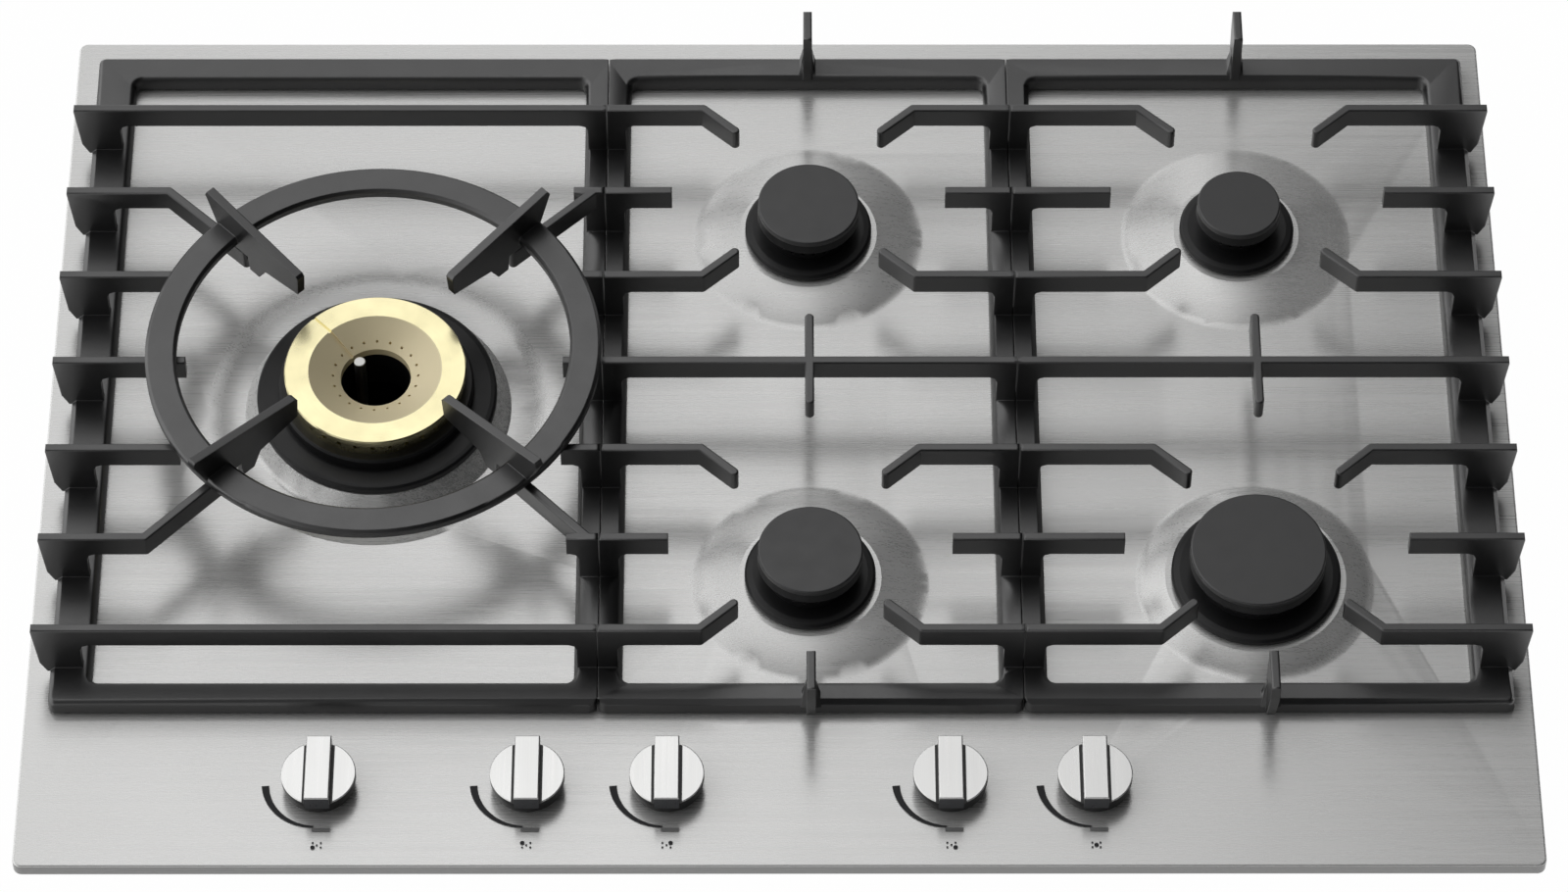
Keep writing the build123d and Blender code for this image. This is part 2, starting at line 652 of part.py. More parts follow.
def plug_spring(x):
    """The spring that seats a tap's plug, round the stem."""
    low = PLUG_TOP + LOOSE + SPRING_WIRE / 2
    high = TAP_TOP - LOOSE - SPRING_WIRE / 2
    path = Helix(pitch=(high - low) / SPRING_TURNS, height=high - low, radius=SPRING_RADIUS)
    start = Plane(origin=path @ 0, z_dir=path % 0)
    return Pos(x, KNOB_Y, low) * sweep(start * Circle(SPRING_WIRE / 2), path=path, is_frenet=True)


def d_section(radius, flat):
    """A circle with one flat, as on a tap stem."""
    return Circle(radius) - Pos(flat + radius, 0) * Rectangle(2 * radius, 2 * radius)


def tap_plug(x):
    """The turning plug of a tap, with a D socket for the stem and its gas way."""
    radius = TAP_BORE_RADIUS - PRESS
    plug = post(radius, TAP_BORE_FLOOR + PRESS, PLUG_TOP, x, KNOB_Y)
    socket = d_section(STEM_RADIUS + LOOSE, STEM_FLAT + LOOSE)
    plug -= Pos(x, KNOB_Y, PLUG_SOCKET_FLOOR) * extrude(socket, PLUG_TOP - PLUG_SOCKET_FLOOR)
    plug -= post(PLUG_PASSAGE_RADIUS, TAP_BORE_FLOOR, RAIL_HEIGHT, x, KNOB_Y)
    side_port = Rot(-90, 0, 0) * post(SIDE_PASSAGE_RADIUS, 0, radius + 1.0)
    return plug - Pos(x, KNOB_Y, RAIL_HEIGHT) * side_port


def tap_stem(x):
    """The D-shaped stem between a plug and its knob."""
    length = PLATE_TOP + STEM_TOP - STEM_LOW
    return Pos(x, KNOB_Y, STEM_LOW) * extrude(d_section(STEM_RADIUS, STEM_FLAT), length)


def gas_pipes():
    """The pipes from the taps to the injector holders."""
    front = TAP_REAR - PIPE_INSERT
    routes = []
    for offset in tap_pipe_offsets(0):
        x = KNOB_X[0] + offset
        routes.append([(x, front), (x, wok_holder_front() + PIPE_INSERT)])
    for name, burner in BURNERS.items():
        x = KNOB_X[TAP_ORDER.index(name)]
        end = burner.x - HOLDER_HALF + PIPE_INSERT
        routes.append([(x, front), (x, burner.y), (end, burner.y)])
    levels = [[(x, y, PIPE_HEIGHT) for x, y in route] for route in routes]
    return [tube(level, PIPE_BEND, PIPE_RADIUS, PIPE_RADIUS - PIPE_WALL) for level in levels]


def wok_injector_places():
    """The two injectors of the wok burner, in line with its pipes."""
    y = WOK_Y - WOK_INJECTOR_SETBACK
    return [(KNOB_X[0] + offset, y) for offset in tap_pipe_offsets(0)]


def wok_holder_front():
    """The front face of the wok burner's injector holder."""
    return wok_injector_places()[0][1] - HOLDER_HALF - WOK_HOLDER_EXTRA


def injectors():
    """The brass nozzles that stand on the floor of each burner cup."""
    places = wok_injector_places() + [(b.x, b.y) for b in BURNERS.values()]
    nozzles = []
    for x, y in places:
        top = CUP_FLOOR_TOP + INJECTOR_BODY
        body = hex_post(INJECTOR_WIDTH, CUP_FLOOR_TOP, top, x, y)
        body += post(PIPE_RADIUS - PRESS, PIPE_HEIGHT + PIPE_RADIUS, CUP_FLOOR_TOP, x, y)
        body += post(NOZZLE_RADIUS, top, top + INJECTOR_NOZZLE, x, y)
        nozzles.append(body - post(JET_RADIUS, PIPE_HEIGHT, top + INJECTOR_NOZZLE, x, y))
    return nozzles


# Burner bases, crowns and caps


def probe_place(burner, angle):
    """Where an electrode or thermocouple stands beside a crown."""
    turn = radians(angle)
    return (burner.x + burner.probe * cos(turn), burner.y + burner.probe * sin(turn))


def base_screw_places(burner):
    """The screws that hold a burner base to its bracket."""
    return [(burner.x, burner.y + side) for side in (-BASE_SCREW_OFFSET, BASE_SCREW_OFFSET)]


def burner_base(burner):
    """A burner's cup with its flange and its injector holder."""
    floor_low = CUP_FLOOR_TOP - CUP_FLOOR
    bore = burner.cup - CUP_WALL
    edge = burner.flange
    base = turned([
        (0, floor_low), (burner.cup, floor_low), (burner.cup, DOME_TOP), (edge - 0.8, DOME_TOP),
        (edge, DOME_TOP + 1.2), (edge, FLANGE_TOP - 1.6), (edge - 1.2, FLANGE_TOP - 0.4),
        (edge - 4.0, FLANGE_TOP), (bore, FLANGE_TOP), (bore, CUP_FLOOR_TOP), (0, CUP_FLOOR_TOP),
    ], burner.x, burner.y)
    base += block((burner.x - HOLDER_HALF, burner.x + HOLDER_HALF),
                  (burner.y - HOLDER_HALF, burner.y + HOLDER_HALF), (BOX_SHEET, floor_low))
    socket = Rot(0, 90, 0) * post(PIPE_RADIUS + PRESS, -HOLDER_HALF, -HOLDER_HALF + PIPE_SOCKET)
    way = Rot(0, 90, 0) * post(PLUG_PASSAGE_RADIUS, -HOLDER_HALF, 0)
    cuts = [Pos(burner.x, burner.y, PIPE_HEIGHT) * (socket + way)]
    cuts.append(post(PIPE_RADIUS, PIPE_HEIGHT, CUP_FLOOR_TOP, burner.x, burner.y))
    for radius, angle in ((INSULATOR_RADIUS, SPARK_ANGLE), (PROBE_RADIUS, THERMOCOUPLE_ANGLE)):
        cuts.append(post(radius + PRESS, DOME_TOP - 1.0, FLANGE_TOP, *probe_place(burner, angle)))
    for place in base_screw_places(burner):
        cuts.append(post(BASE_SCREW_RADIUS + PRESS, floor_low, CUP_FLOOR_TOP - 0.5, *place))
    return base - cuts


def wok_base():
    """The wide cup of the wok burner with its flange and injector holder."""
    floor_low = CUP_FLOOR_TOP - CUP_FLOOR
    bore = WOK_CUP_RADIUS - CUP_WALL
    edge = WOK_FLANGE_RADIUS
    base = turned([
        (0, floor_low), (WOK_CUP_RADIUS, floor_low), (WOK_CUP_RADIUS, COLLAR_TOP),
        (edge - 1.0, COLLAR_TOP), (edge, COLLAR_TOP + 1.5), (edge, WOK_FLANGE_TOP - 2.0),
        (edge - 1.0, WOK_FLANGE_TOP - 0.8), (edge - 3.0, WOK_FLANGE_TOP - 0.4),
        (WOK_CROWN_RADIUS + 1.5, WOK_FLANGE_TOP),
        (bore, WOK_FLANGE_TOP), (bore, CUP_FLOOR_TOP), (0, CUP_FLOOR_TOP),
    ], WOK_X, WOK_Y)
    places = wok_injector_places()
    front = wok_holder_front()
    base += block((places[0][0] - HOLDER_HALF, places[-1][0] + HOLDER_HALF),
                  (front, places[0][1] + HOLDER_HALF), (BOX_SHEET, floor_low))
    cuts = []
    for x, y in places:
        cuts.append(post(PIPE_RADIUS, PIPE_HEIGHT, CUP_FLOOR_TOP, x, y))
        socket = Rot(-90, 0, 0) * post(PIPE_RADIUS + PRESS, front, front + PIPE_SOCKET)
        way = Rot(-90, 0, 0) * post(PLUG_PASSAGE_RADIUS, front, y)
        cuts.append(Pos(x, 0, PIPE_HEIGHT) * (socket + way))
    cuts.append(post(INSULATOR_RADIUS + PRESS, floor_low, CUP_FLOOR_TOP, *wok_place(WOK_PIN_OFFSET)))
    cuts.append(post(PROBE_RADIUS + PRESS, floor_low, CUP_FLOOR_TOP, *wok_place(WOK_PROBE_OFFSET)))
    for place in WOK_SCREW_PLACES:
        cuts.append(post(BASE_SCREW_RADIUS + PRESS, floor_low, CUP_FLOOR_TOP - 0.5, *place))
    return base - cuts


def wok_place(offset):
    """A place given from the wok burner's axis."""
    return (WOK_X + offset[0], WOK_Y + offset[1])


def cup_brackets():
    """The sheet bridges on the box floor that carry the burner cups."""
    top = CUP_FLOOR_TOP - CUP_FLOOR
    low = top - BRACKET_SHEET
    window = HOLDER_HALF + FREE
    bridges = []
    for burner in BURNERS.values():
        half = burner.cup + BRACKET_MARGIN
        x_span = (burner.x - half, burner.x + half)
        bridge = block(x_span, (burner.y - half, burner.y + half), (low, top))
        for side in (burner.y - half, burner.y + half - BRACKET_SHEET):
            bridge += block(x_span, (side, side + BRACKET_SHEET), (BOX_SHEET, top))
        bridge -= block((burner.x - window, burner.x + window),
                        (burner.y - window, burner.y + window), (0, top))
        for place in base_screw_places(burner):
            bridge -= post(BASE_SCREW_RADIUS + PRESS, low, top, *place)
        bridges.append(bridge)
    half = WOK_CUP_RADIUS + BRACKET_MARGIN
    y_span = (WOK_Y - half, WOK_Y + half)
    bridge = block((WOK_X - half, WOK_X + half), y_span, (low, top))
    for side in (WOK_X - half, WOK_X + half - BRACKET_SHEET):
        bridge += block((side, side + BRACKET_SHEET), y_span, (BOX_SHEET, top))
    places = wok_injector_places()
    bridge -= block((places[0][0] - window, places[-1][0] + window),
                    (wok_holder_front() - FREE, places[0][1] + window), (0, top))
    bridge -= post(INSULATOR_RADIUS + LOOSE, low, top, *wok_place(WOK_PIN_OFFSET))
    bridge -= post(PROBE_RADIUS + LOOSE, low, top, *wok_place(WOK_PROBE_OFFSET))
    bridge -= [post(BASE_SCREW_RADIUS + PRESS, low, top, *place) for place in WOK_SCREW_PLACES]
    return bridges + [bridge]


def base_screws():
    """The screws up through the brackets into the burner cups."""
    top = CUP_FLOOR_TOP - CUP_FLOOR - BRACKET_SHEET
    places = list(WOK_SCREW_PLACES)
    for burner in BURNERS.values():
        places += base_screw_places(burner)
    screws = []
    for place in places:
        screw = post(BASE_SCREW_RADIUS, top, CUP_FLOOR_TOP - 0.6, *place)
        head_radius, head_height = BASE_SCREW_HEAD
        screws.append(screw + post(head_radius, top - head_height, top, *place))
    return screws


def burner_crown(burner):
    """The flame crown: a slotted ring on a venturi tube, standing on the base's flange."""
    skirt = burner.cup - CUP_WALL - LOOSE
    inner = burner.wall - CROWN_WALL
    throat = min(VENTURI_RADIUS, inner - VENTURI_MARGIN)
    tube_low = FLANGE_TOP - VENTURI_LENGTH
    floor_top = FLANGE_TOP + CROWN_FLOOR
    head_low = FLANGE_TOP + CROWN_HEIGHT
    head_top = head_low + CROWN_HEAD
    crown = turned([
        (throat, tube_low), (throat + VENTURI_WALL, tube_low), (throat + VENTURI_WALL, FLANGE_TOP),
        (skirt - SKIRT_WALL, FLANGE_TOP), (skirt - SKIRT_WALL, FLANGE_TOP - CROWN_SKIRT),
        (skirt, FLANGE_TOP - CROWN_SKIRT), (skirt, FLANGE_TOP), (burner.wall, FLANGE_TOP),
        (burner.wall, head_low), (burner.cap + CROWN_HEAD_LOW_STEP, head_low),
        (burner.cap - CROWN_HEAD_TOP_STEP, head_top), (inner, head_top),
        (inner, floor_top), (throat, floor_top),
    ], burner.x, burner.y)
    low = FLANGE_TOP + PORT_LOW
    half = PORT_WIDTH / 2
    port = block((inner - 1.0, burner.wall + 1.0), (-half, half), (low, low + PORT_HEIGHT))
    count = round(2 * pi * burner.wall / PORT_SPACING)
    turns = [angle for _, _, angle in ring_points(count, 1.0, 0, 0, start=180.0 / count)]
    return crown - [Pos(burner.x, burner.y, 0) * (Rot(0, 0, turn) * port) for turn in turns]


def burner_cap(burner):
    """The enamelled lid of a burner, with a rib that centres it in the crown."""
    low = FLANGE_TOP + CROWN_HEIGHT + CROWN_HEAD
    top = low + CAP_THICKNESS
    rib = burner.wall - CROWN_WALL - LOOSE
    cap = turned([(0, low), (burner.cap, low), (burner.cap, top), (0, top)], burner.x, burner.y)
    cap = fillet(cap.edges().filter_by(GeomType.CIRCLE).group_by(Axis.Z)[-1], CAP_EDGE)
    return cap + (post(rib, low - CAP_RIB, low, burner.x, burner.y)
                  - post(rib - SKIRT_WALL, low - CAP_RIB, low, burner.x, burner.y))


def wok_crown():
    """The dark ring under the brass flame ring, with the tube of the inner flame."""
    low = WOK_FLANGE_TOP
    top = low + WOK_CROWN_THICKNESS
    skirt = WOK_CUP_RADIUS - CUP_WALL - LOOSE
    tube_radius = WOK_HOLE_RADIUS + 1.0
    tube_outer = tube_radius + WOK_TUBE_WALL
    tube_low = low - VENTURI_LENGTH
    return turned([
        (tube_radius, tube_low), (tube_outer, tube_low), (tube_outer, low),
        (skirt - SKIRT_WALL, low), (skirt - SKIRT_WALL, low - CROWN_SKIRT),
        (skirt, low - CROWN_SKIRT), (skirt, low), (WOK_CROWN_RADIUS, low),
        (WOK_CROWN_RADIUS, top - 1.0), (WOK_CROWN_RADIUS - 1.0, top), (tube_radius, top),
    ], WOK_X, WOK_Y)


def flame_ring_levels():
    """The foot, the top and the low edge of the cone of the brass flame ring."""
    foot = WOK_FLANGE_TOP + WOK_CROWN_THICKNESS
    top = foot + RING_HEIGHT
    return foot, top, top - RING_CONE_DROP


def wok_flame_ring():
    """The brass ring with a flat top, an inner cone, flame ports and a lighting groove."""
    foot, top, cone_low = flame_ring_levels()
    lip_low = top - RING_LIP_HEIGHT
    wall_in = RING_WALL_RADIUS - RING_WALL
    hole_out = WOK_HOLE_RADIUS + RING_HOLE_WALL
    skin_low = top - RING_SKIN
    ring = turned([
        (RING_WALL_RADIUS, foot), (RING_WALL_RADIUS, lip_low - 0.8), (RING_LIP_RADIUS, lip_low),
        (RING_LIP_RADIUS, top - 0.6), (RING_LIP_RADIUS - 0.6, top), (RING_INNER_RADIUS, top),
        (WOK_HOLE_RADIUS, cone_low), (WOK_HOLE_RADIUS, foot), (hole_out, foot),
        (hole_out, cone_low - 1.5), (RING_INNER_RADIUS - 1.0, skin_low), (wall_in, skin_low),
        (wall_in, foot),
    ], WOK_X, WOK_Y)
    cuts = []
    for x, y, angle in ring_points(RING_PORTS, wall_in - 1.0, WOK_X, WOK_Y):
        port = Rot(0, 90, 0) * post(RING_PORT_RADIUS, 0, 2 * RING_WALL)
        cuts.append(Pos(x, y, foot + RING_PORT_HEIGHT) * (Rot(0, 0, angle) * port))
    cuts += [post(HOLE_PORT_RADIUS, foot + 1.0, top, x, y)
             for x, y, _ in ring_points(HOLE_PORTS, WOK_HOLE_RADIUS + HOLE_PORT_INSET, WOK_X, WOK_Y)]
    groove = Plane.XZ * make_face(Polyline(
        (WOK_HOLE_RADIUS - 1.0, cone_low - GROOVE_DEPTH), (RING_INNER_RADIUS, top - GROOVE_DEPTH),
        (RING_LIP_RADIUS + 1.0, top - GROOVE_DEPTH), (RING_LIP_RADIUS + 1.0, top + 1.0),
        (WOK_HOLE_RADIUS - 1.0, top + 1.0), close=True))
    groove = extrude(groove, GROOVE_WIDTH / 2, both=True)
    cuts.append(Pos(WOK_X, WOK_Y, 0) * (Rot(0, 0, GROOVE_ANGLE) * groove))
    return ring - cuts


# Ignition and flame sensing


def spark_stands():
    """Each spark insulator as (x, y, foot, head, tip), the wok burner's first."""
    tip = PLATE_TOP + WOK_PIN_ABOVE_PLATE
    stands = [(*wok_place(WOK_PIN_OFFSET), PIPE_HEIGHT + 1.0, tip - WOK_SHIELD_TOP, tip)]
    head = PLATE_TOP + INSULATOR_ABOVE_PLATE
    for burner in BURNERS.values():
        x, y = probe_place(burner, SPARK_ANGLE)
        stands.append((x, y, INSULATOR_LOW, head, PLATE_TOP + PIN_ABOVE_PLATE))
    return stands


def spark_insulators():
    """The ceramic sleeves of the spark pins."""
    wok, *others = spark_stands()
    sleeves = [post(INSULATOR_RADIUS, wok[2], wok[3], wok[0], wok[1])]
    for x, y, foot, head, _ in others:
        sleeve = post(INSULATOR_RADIUS, foot, head, x, y)
        sleeves.append(sleeve - post(PIN_RADIUS + PRESS, head - PIN_SEAT, head, x, y))
    return sleeves


def spark_pins():
    """The metal pins on the spark insulators, and the metal shield on the wok burner's."""
    wok, *others = spark_stands()
    x, y, _, head, tip = wok
    low = head - WOK_SHIELD_LENGTH
    shield = soften_top(post(WOK_SHIELD_RADIUS, low, tip, x, y), KNOB_EDGE)
    pins = [shield - post(INSULATOR_RADIUS + PRESS, low, head, x, y)]
    for x, y, _, head, tip in others:
        pin = post(PIN_RADIUS, head - PIN_SEAT, tip, x, y)
        pins.append(pin + post(PIN_TIP_RADIUS, tip, tip + 1.0, x, y))
    return pins


def probe_with_lead(x, y, low, high, route):
    """One flame sensor with its lead along a route of (x, y) corners at one height."""
    height = route[0][2]
    probe = post(PROBE_RADIUS, low, high, x, y)
    lead = [(x, y, low + 1.0), (x, y, height)] + route
    return probe + tube(lead, PROBE_LEAD_BEND, LEAD_RADIUS)


def thermocouples():
    """The flame sensors beside the crowns, each with its lead to the tap."""
    probes = []
    for name, burner in BURNERS.items():
        x, y = probe_place(burner, THERMOCOUPLE_ANGLE)
        lane = KNOB_X[TAP_ORDER.index(name)] + TAP_WIDTH / 2 - PROBE_LANE_INSET
        route = [(lane, y, PROBE_LEAD_HEIGHT), (lane, TAP_REAR, PROBE_LEAD_HEIGHT)]
        probes.append(probe_with_lead(x, y, PROBE_LOW, PLATE_TOP + PROBE_ABOVE_PLATE, route))
    x, y = wok_place(WOK_PROBE_OFFSET)
    turn = WOK_Y - WOK_CUP_RADIUS - BRACKET_MARGIN - WOK_LEAD_TURN
    lane = KNOB_X[0] + TAP_WIDTH / 2 - WOK_LEAD_INSET
    route = [(a, b, WOK_LEAD_HEIGHT) for a, b in ((x, turn), (lane, turn), (lane, TAP_REAR))]
    low = WOK_LEAD_HEIGHT + 3.0
    probes.append(probe_with_lead(x, y, low, PLATE_TOP + WOK_PROBE_ABOVE_PLATE, route))
    return probes


def ignition_module():
    """The spark generator on the box floor."""
    length, depth, height = MODULE_SIZE
    module = block((MODULE_X - length / 2, MODULE_X + length / 2),
                   (MODULE_Y - depth / 2, MODULE_Y + depth / 2), (BOX_SHEET, BOX_SHEET + height))
    return fillet(module.edges().filter_by(Axis.Z), TAP_CORNER)


def ignition_leads():
    """The leads from the module's top to the spark insulators."""
    module_top = BOX_SHEET + MODULE_SIZE[2]
    sockets = [MODULE_X + MODULE_PITCH * step for step in (-2, -1, 0, 1, 2)]
    wok, rear, front, rapid, aux = [(stand[0], stand[1]) for stand in spark_stands()]
    level = SPARK_LEAD_HEIGHT
    lower = level - SPARK_LEAD_STEP
    floor = WOK_LEAD_HEIGHT - 1.4
    wok_rise = WOK_Y + WOK_CUP_RADIUS + 5.0
    lane = MODULE_Y + MODULE_LANE
    rapid_lane = MODULE_Y + RAPID_LEAD_LANE
    routes = [
        [(*wok, PIPE_HEIGHT + 1.0), (*wok, floor), (wok[0], wok_rise, floor),
         (wok[0], wok_rise, level), (wok[0], MODULE_Y, level), (sockets[0], MODULE_Y, level)],
        [(*front, INSULATOR_LOW), (*front, level), (sockets[1], front[1], level),
         (sockets[1], MODULE_Y, level)],
        [(*rear, INSULATOR_LOW), (*rear, level), (sockets[2], rear[1], level),
         (sockets[2], MODULE_Y, level)],
        [(*aux, INSULATOR_LOW), (*aux, level), (aux[0], lane, level),
         (sockets[3], lane, level), (sockets[3], MODULE_Y, level)],
        [(*rapid, INSULATOR_LOW), (*rapid, lower), (RAPID_LEAD_X, rapid[1], lower),
         (RAPID_LEAD_X, rapid_lane, lower), (sockets[4], rapid_lane, lower)],
    ]
    leads = []
    for route in routes:
        x, y, _ = route[-1]
        leads.append(tube(route + [(x, y, module_top)], SPARK_LEAD_BEND, LEAD_RADIUS))
    return leads


def terminal_entry(clearance):
    """The mouth of the terminal block in the rear wall, enlarged by a clearance."""
    width, height = TERMINAL_ENTRY
    low = BOX_SHEET + TERMINAL_ENTRY_LOW
    return block((TERMINAL_X - width / 2 - clearance, TERMINAL_X + width / 2 + clearance),
                 (BOX_INNER_REAR - clearance, BOX_DEPTH / 2 + clearance),
                 (low - clearance, low + height + clearance))


def terminal_block():
    """The mains connection block against the rear wall of the box."""
    length, depth, height = TERMINAL_SIZE
    body = block((TERMINAL_X - length / 2, TERMINAL_X + length / 2),
                 (BOX_INNER_REAR - depth, BOX_INNER_REAR), (BOX_SHEET, BOX_SHEET + height))
    body += terminal_entry(0)
    radius, mouth_depth = TERMINAL_MOUTH
    mouth = Rot(-90, 0, 0) * post(radius, BOX_DEPTH / 2 - mouth_depth, BOX_DEPTH / 2)
    middle = BOX_SHEET + TERMINAL_ENTRY_LOW + TERMINAL_ENTRY[1] / 2
    return body - Pos(TERMINAL_X, 0, middle) * mouth


# Knobs and their gaskets


def knob(x):
    """A control knob: disc, skirt and a grip bar across its full width."""
    low = PLATE_TOP + KNOB_GAP
    skirt_top = PLATE_TOP + KNOB_SKIRT_TOP
    disc_top = PLATE_TOP + KNOB_DISC_TOP
    top = PLATE_TOP + KNOB_TOP
    body = soften_top(post(KNOB_RADIUS, skirt_top, disc_top), KNOB_EDGE)
    body += post(KNOB_SKIRT_RADIUS, low, skirt_top)
    for side in (-1, 1):
        edge = side * GRIP_WIDTH / 2
        groove = sorted((edge, edge + side * GRIP_GROOVE))
        body -= block(groove, (-KNOB_RADIUS, KNOB_RADIUS), (disc_top - GRIP_GROOVE_DEPTH, disc_top))
    grip = block((-GRIP_WIDTH / 2, GRIP_WIDTH / 2), (-KNOB_RADIUS - 0.1, KNOB_RADIUS), (skirt_top, top))
    body += soften_top(grip, GRIP_EDGE)
    bore = extrude(d_section(STEM_RADIUS + PRESS, STEM_FLAT + PRESS), KNOB_BORE_TOP - KNOB_GAP)
    return Pos(x, KNOB_Y, 0) * (body - Pos(0, 0, low) * bore)


def stem_gasket(x):
    """The grommet that seals a stem in the plate."""
    bore = STEM_RADIUS + LOOSE
    low = PLATE_UNDER - GASKET_LIP
    high = PLATE_TOP + GASKET_LIP
    neck = GASKET_NECK - PRESS
    return turned([
        (bore, low), (GASKET_RADIUS, low), (GASKET_RADIUS, PLATE_UNDER), (neck, PLATE_UNDER),
        (neck, PLATE_TOP), (GASKET_RADIUS, PLATE_TOP), (GASKET_RADIUS, high), (bore, high),
    ], x, KNOB_Y)


# Pan supports


def drafted_block(x_span, y_span, corner, low, high, draft):
    """A block with rounded upright edges whose sides lean inward by a draft angle."""
    outline = RectangleRounded(x_span[1] - x_span[0], y_span[1] - y_span[0], corner)
    body = extrude(outline, high - low, taper=draft)
    return Pos(sum(x_span) / 2, sum(y_span) / 2, low) * body


def grate_frame(x_low, x_high, left_bar, right_bar):
    """The low frame of a pan support, its upper edges broken but for those along a seam."""
    low = PLATE_TOP + BAR_LOW
    high = PLATE_TOP + BAR_TOP
    edge_low = high - BAR_EDGE
    depth = (FRAME_FRONT, FRAME_REAR)
    hole = ((x_low + left_bar, x_high - right_bar), (FRAME_FRONT + FRONT_BAR, FRAME_REAR - REAR_BAR))
    body = drafted_block((x_low, x_high), depth, FRAME_CORNER, low, high, BAR_DRAFT)
    body -= drafted_block(*hole, FRAME_INNER_CORNER, low, high, -BAR_DRAFT)
    body -= drafted_block(*hole, FRAME_INNER_CORNER, edge_low, high, -EDGE_SLOPE)
    beyond = [0.0 if bar == OUTER_BAR else SEAM_BAR for bar in (left_bar, right_bar)]
    cover = (x_low - beyond[0], x_high + beyond[1])
    roof = drafted_block(cover, depth, FRAME_CORNER, edge_low, high, EDGE_SLOPE)
    return body & (roof + block(cover, depth, (low, edge_low)))


def diagonal_finger(start, end):
    """A blade between two plan points, with rounded ends and upper edges."""
    length = sqrt((end[0] - start[0]) ** 2 + (end[1] - start[1]) ** 2)
    slot = SlotCenterToCenter(length, BLADE)
    blade = soften_top(extrude(slot, BLADE_DEPTH), BLADE_EDGE)
    direction = Vector(end[0] - start[0], end[1] - start[1], 0)
    turn = Vector(1, 0, 0).get_signed_angle(direction, Vector(0, 0, 1))
    middle = ((start[0] + end[0]) / 2, (start[1] + end[1]) / 2, COOKING_PLANE - BLADE_DEPTH)
    return Pos(*middle) * (Rot(0, 0, turn) * blade)


@dataclass(frozen=True)
class Side:
    """One side of a pan support: the edge of its bar and which way is inward."""
    edge: float
    inward: int
    outer: bool

    def outline(self):
        """The blade's post on this side, in (x, height), from its underside to its top corner."""
        under = COOKING_HEIGHT - BLADE_DEPTH
        root = BAR_TOP - BAR_ROOT
        if self.outer:
            inner_x = self.edge + self.inward * (OUTER_BAR - OUTER_POST_INSET)
            outline = [(GUSSET_FOOT, root), (GUSSET_SHOULDER, BAR_TOP + GUSSET_SHOULDER),
                       (TIP_OVERHANG, COOKING_HEIGHT)]
            points = [(inner_x, root)]
            points += [(self.edge - self.inward * out, height) for out, height in outline]
        else:
            inner_x = self.edge + self.inward * (SEAM_BAR - 2.0)
            outer_x = self.edge + self.inward * 0.6
            points = [(inner_x, root), (outer_x, root), (outer_x, COOKING_HEIGHT)]
        step = 0.3 * BLADE_ROUNDING
        rounding = [(BLADE_ROUNDING, 0), (step, step), (0, BLADE_ROUNDING)]
        return [(inner_x + self.inward * along, under - down) for along, down in rounding] + points


def row_blade(points, y, plain_ends=()):
    """An upright blade one blade thick from its side outline in (x, height above the plate)."""
    outline = make_face(Polyline(*[(x, PLATE_TOP + height) for x, height in points], close=True))
    blade = Pos(0, y, 0) * extrude(Plane.XZ * outline, BLADE / 2, both=True)
    edges = blade.faces().sort_by(Axis.Z)[-1].edges()
    rounded = [edge for edge in edges if all(abs(edge.center().X - x) > 0.01 for x in plain_ends)]
    return fillet(rounded, BLADE_EDGE)


def stub_blade(side, x_end, y, plain=False):
    """A blade from a side bar that ends at x_end; a plain end is one that a finger continues."""
    under = COOKING_HEIGHT - BLADE_DEPTH
    points = [(x_end, COOKING_HEIGHT), (x_end, under)] + side.outline()
    return row_blade(points, y, (x_end,) if plain else ())


def cross_blade(sides, y):
    """A blade right across a pan support."""
    return row_blade(sides[0].outline() + sides[1].outline()[::-1], y)


def bent_finger(side, bend, tip):
    """A blade from a side bar that bends and points at its burner."""
    return [stub_blade(side, bend[0], bend[1], plain=True), diagonal_finger(bend, tip)]


def burner_rows(x, row, sides):
    """The rows round one burner: bent fingers on two rows, stubs on the row between."""
    parts = []
    for side in sides:
        for toward in (1, -1):
            bend = (x - side.inward * BEND_OFFSET, row + toward * ROW_PITCH)
            tip = (x - side.inward * FINGER_TIP[0], row + toward * FINGER_TIP[1])
            parts += bent_finger(side, bend, tip)
        parts.append(stub_blade(side, x - side.inward * STUB_END, row))
    return parts


def end_post(x, y_tip, y_bar, y_inner):
    """A short blade along Y on the front or rear bar, as (y, height) outline, with a flared foot."""
    top = COOKING_PLANE
    foot = PLATE_TOP + BAR_LOW + 2.0
    shoulder = PLATE_TOP + BAR_TOP + BLADE_ROUNDING
    lean = y_tip + (y_bar - y_tip) * 0.6
    outline = Polyline((y_tip, top), (y_inner, top), (y_inner, foot), (y_bar, foot), (lean, shoulder),
                       (y_tip, top - BAR_TOP), close=True)
    blade = extrude(Plane.YZ * make_face(outline), BLADE / 2, both=True)
    blade = Pos(x, 0, 0) * soften_top(blade, BLADE_EDGE)
    flare = Rectangle(POST_FLARE, abs(y_bar - y_inner) - BLADE_ROUNDING)
    flare = extrude(flare, POST_FLARE_HEIGHT, taper=9.0)
    return blade + Pos(x, (y_bar + y_inner) / 2, PLATE_TOP + BAR_TOP - BAR_ROOT) * flare


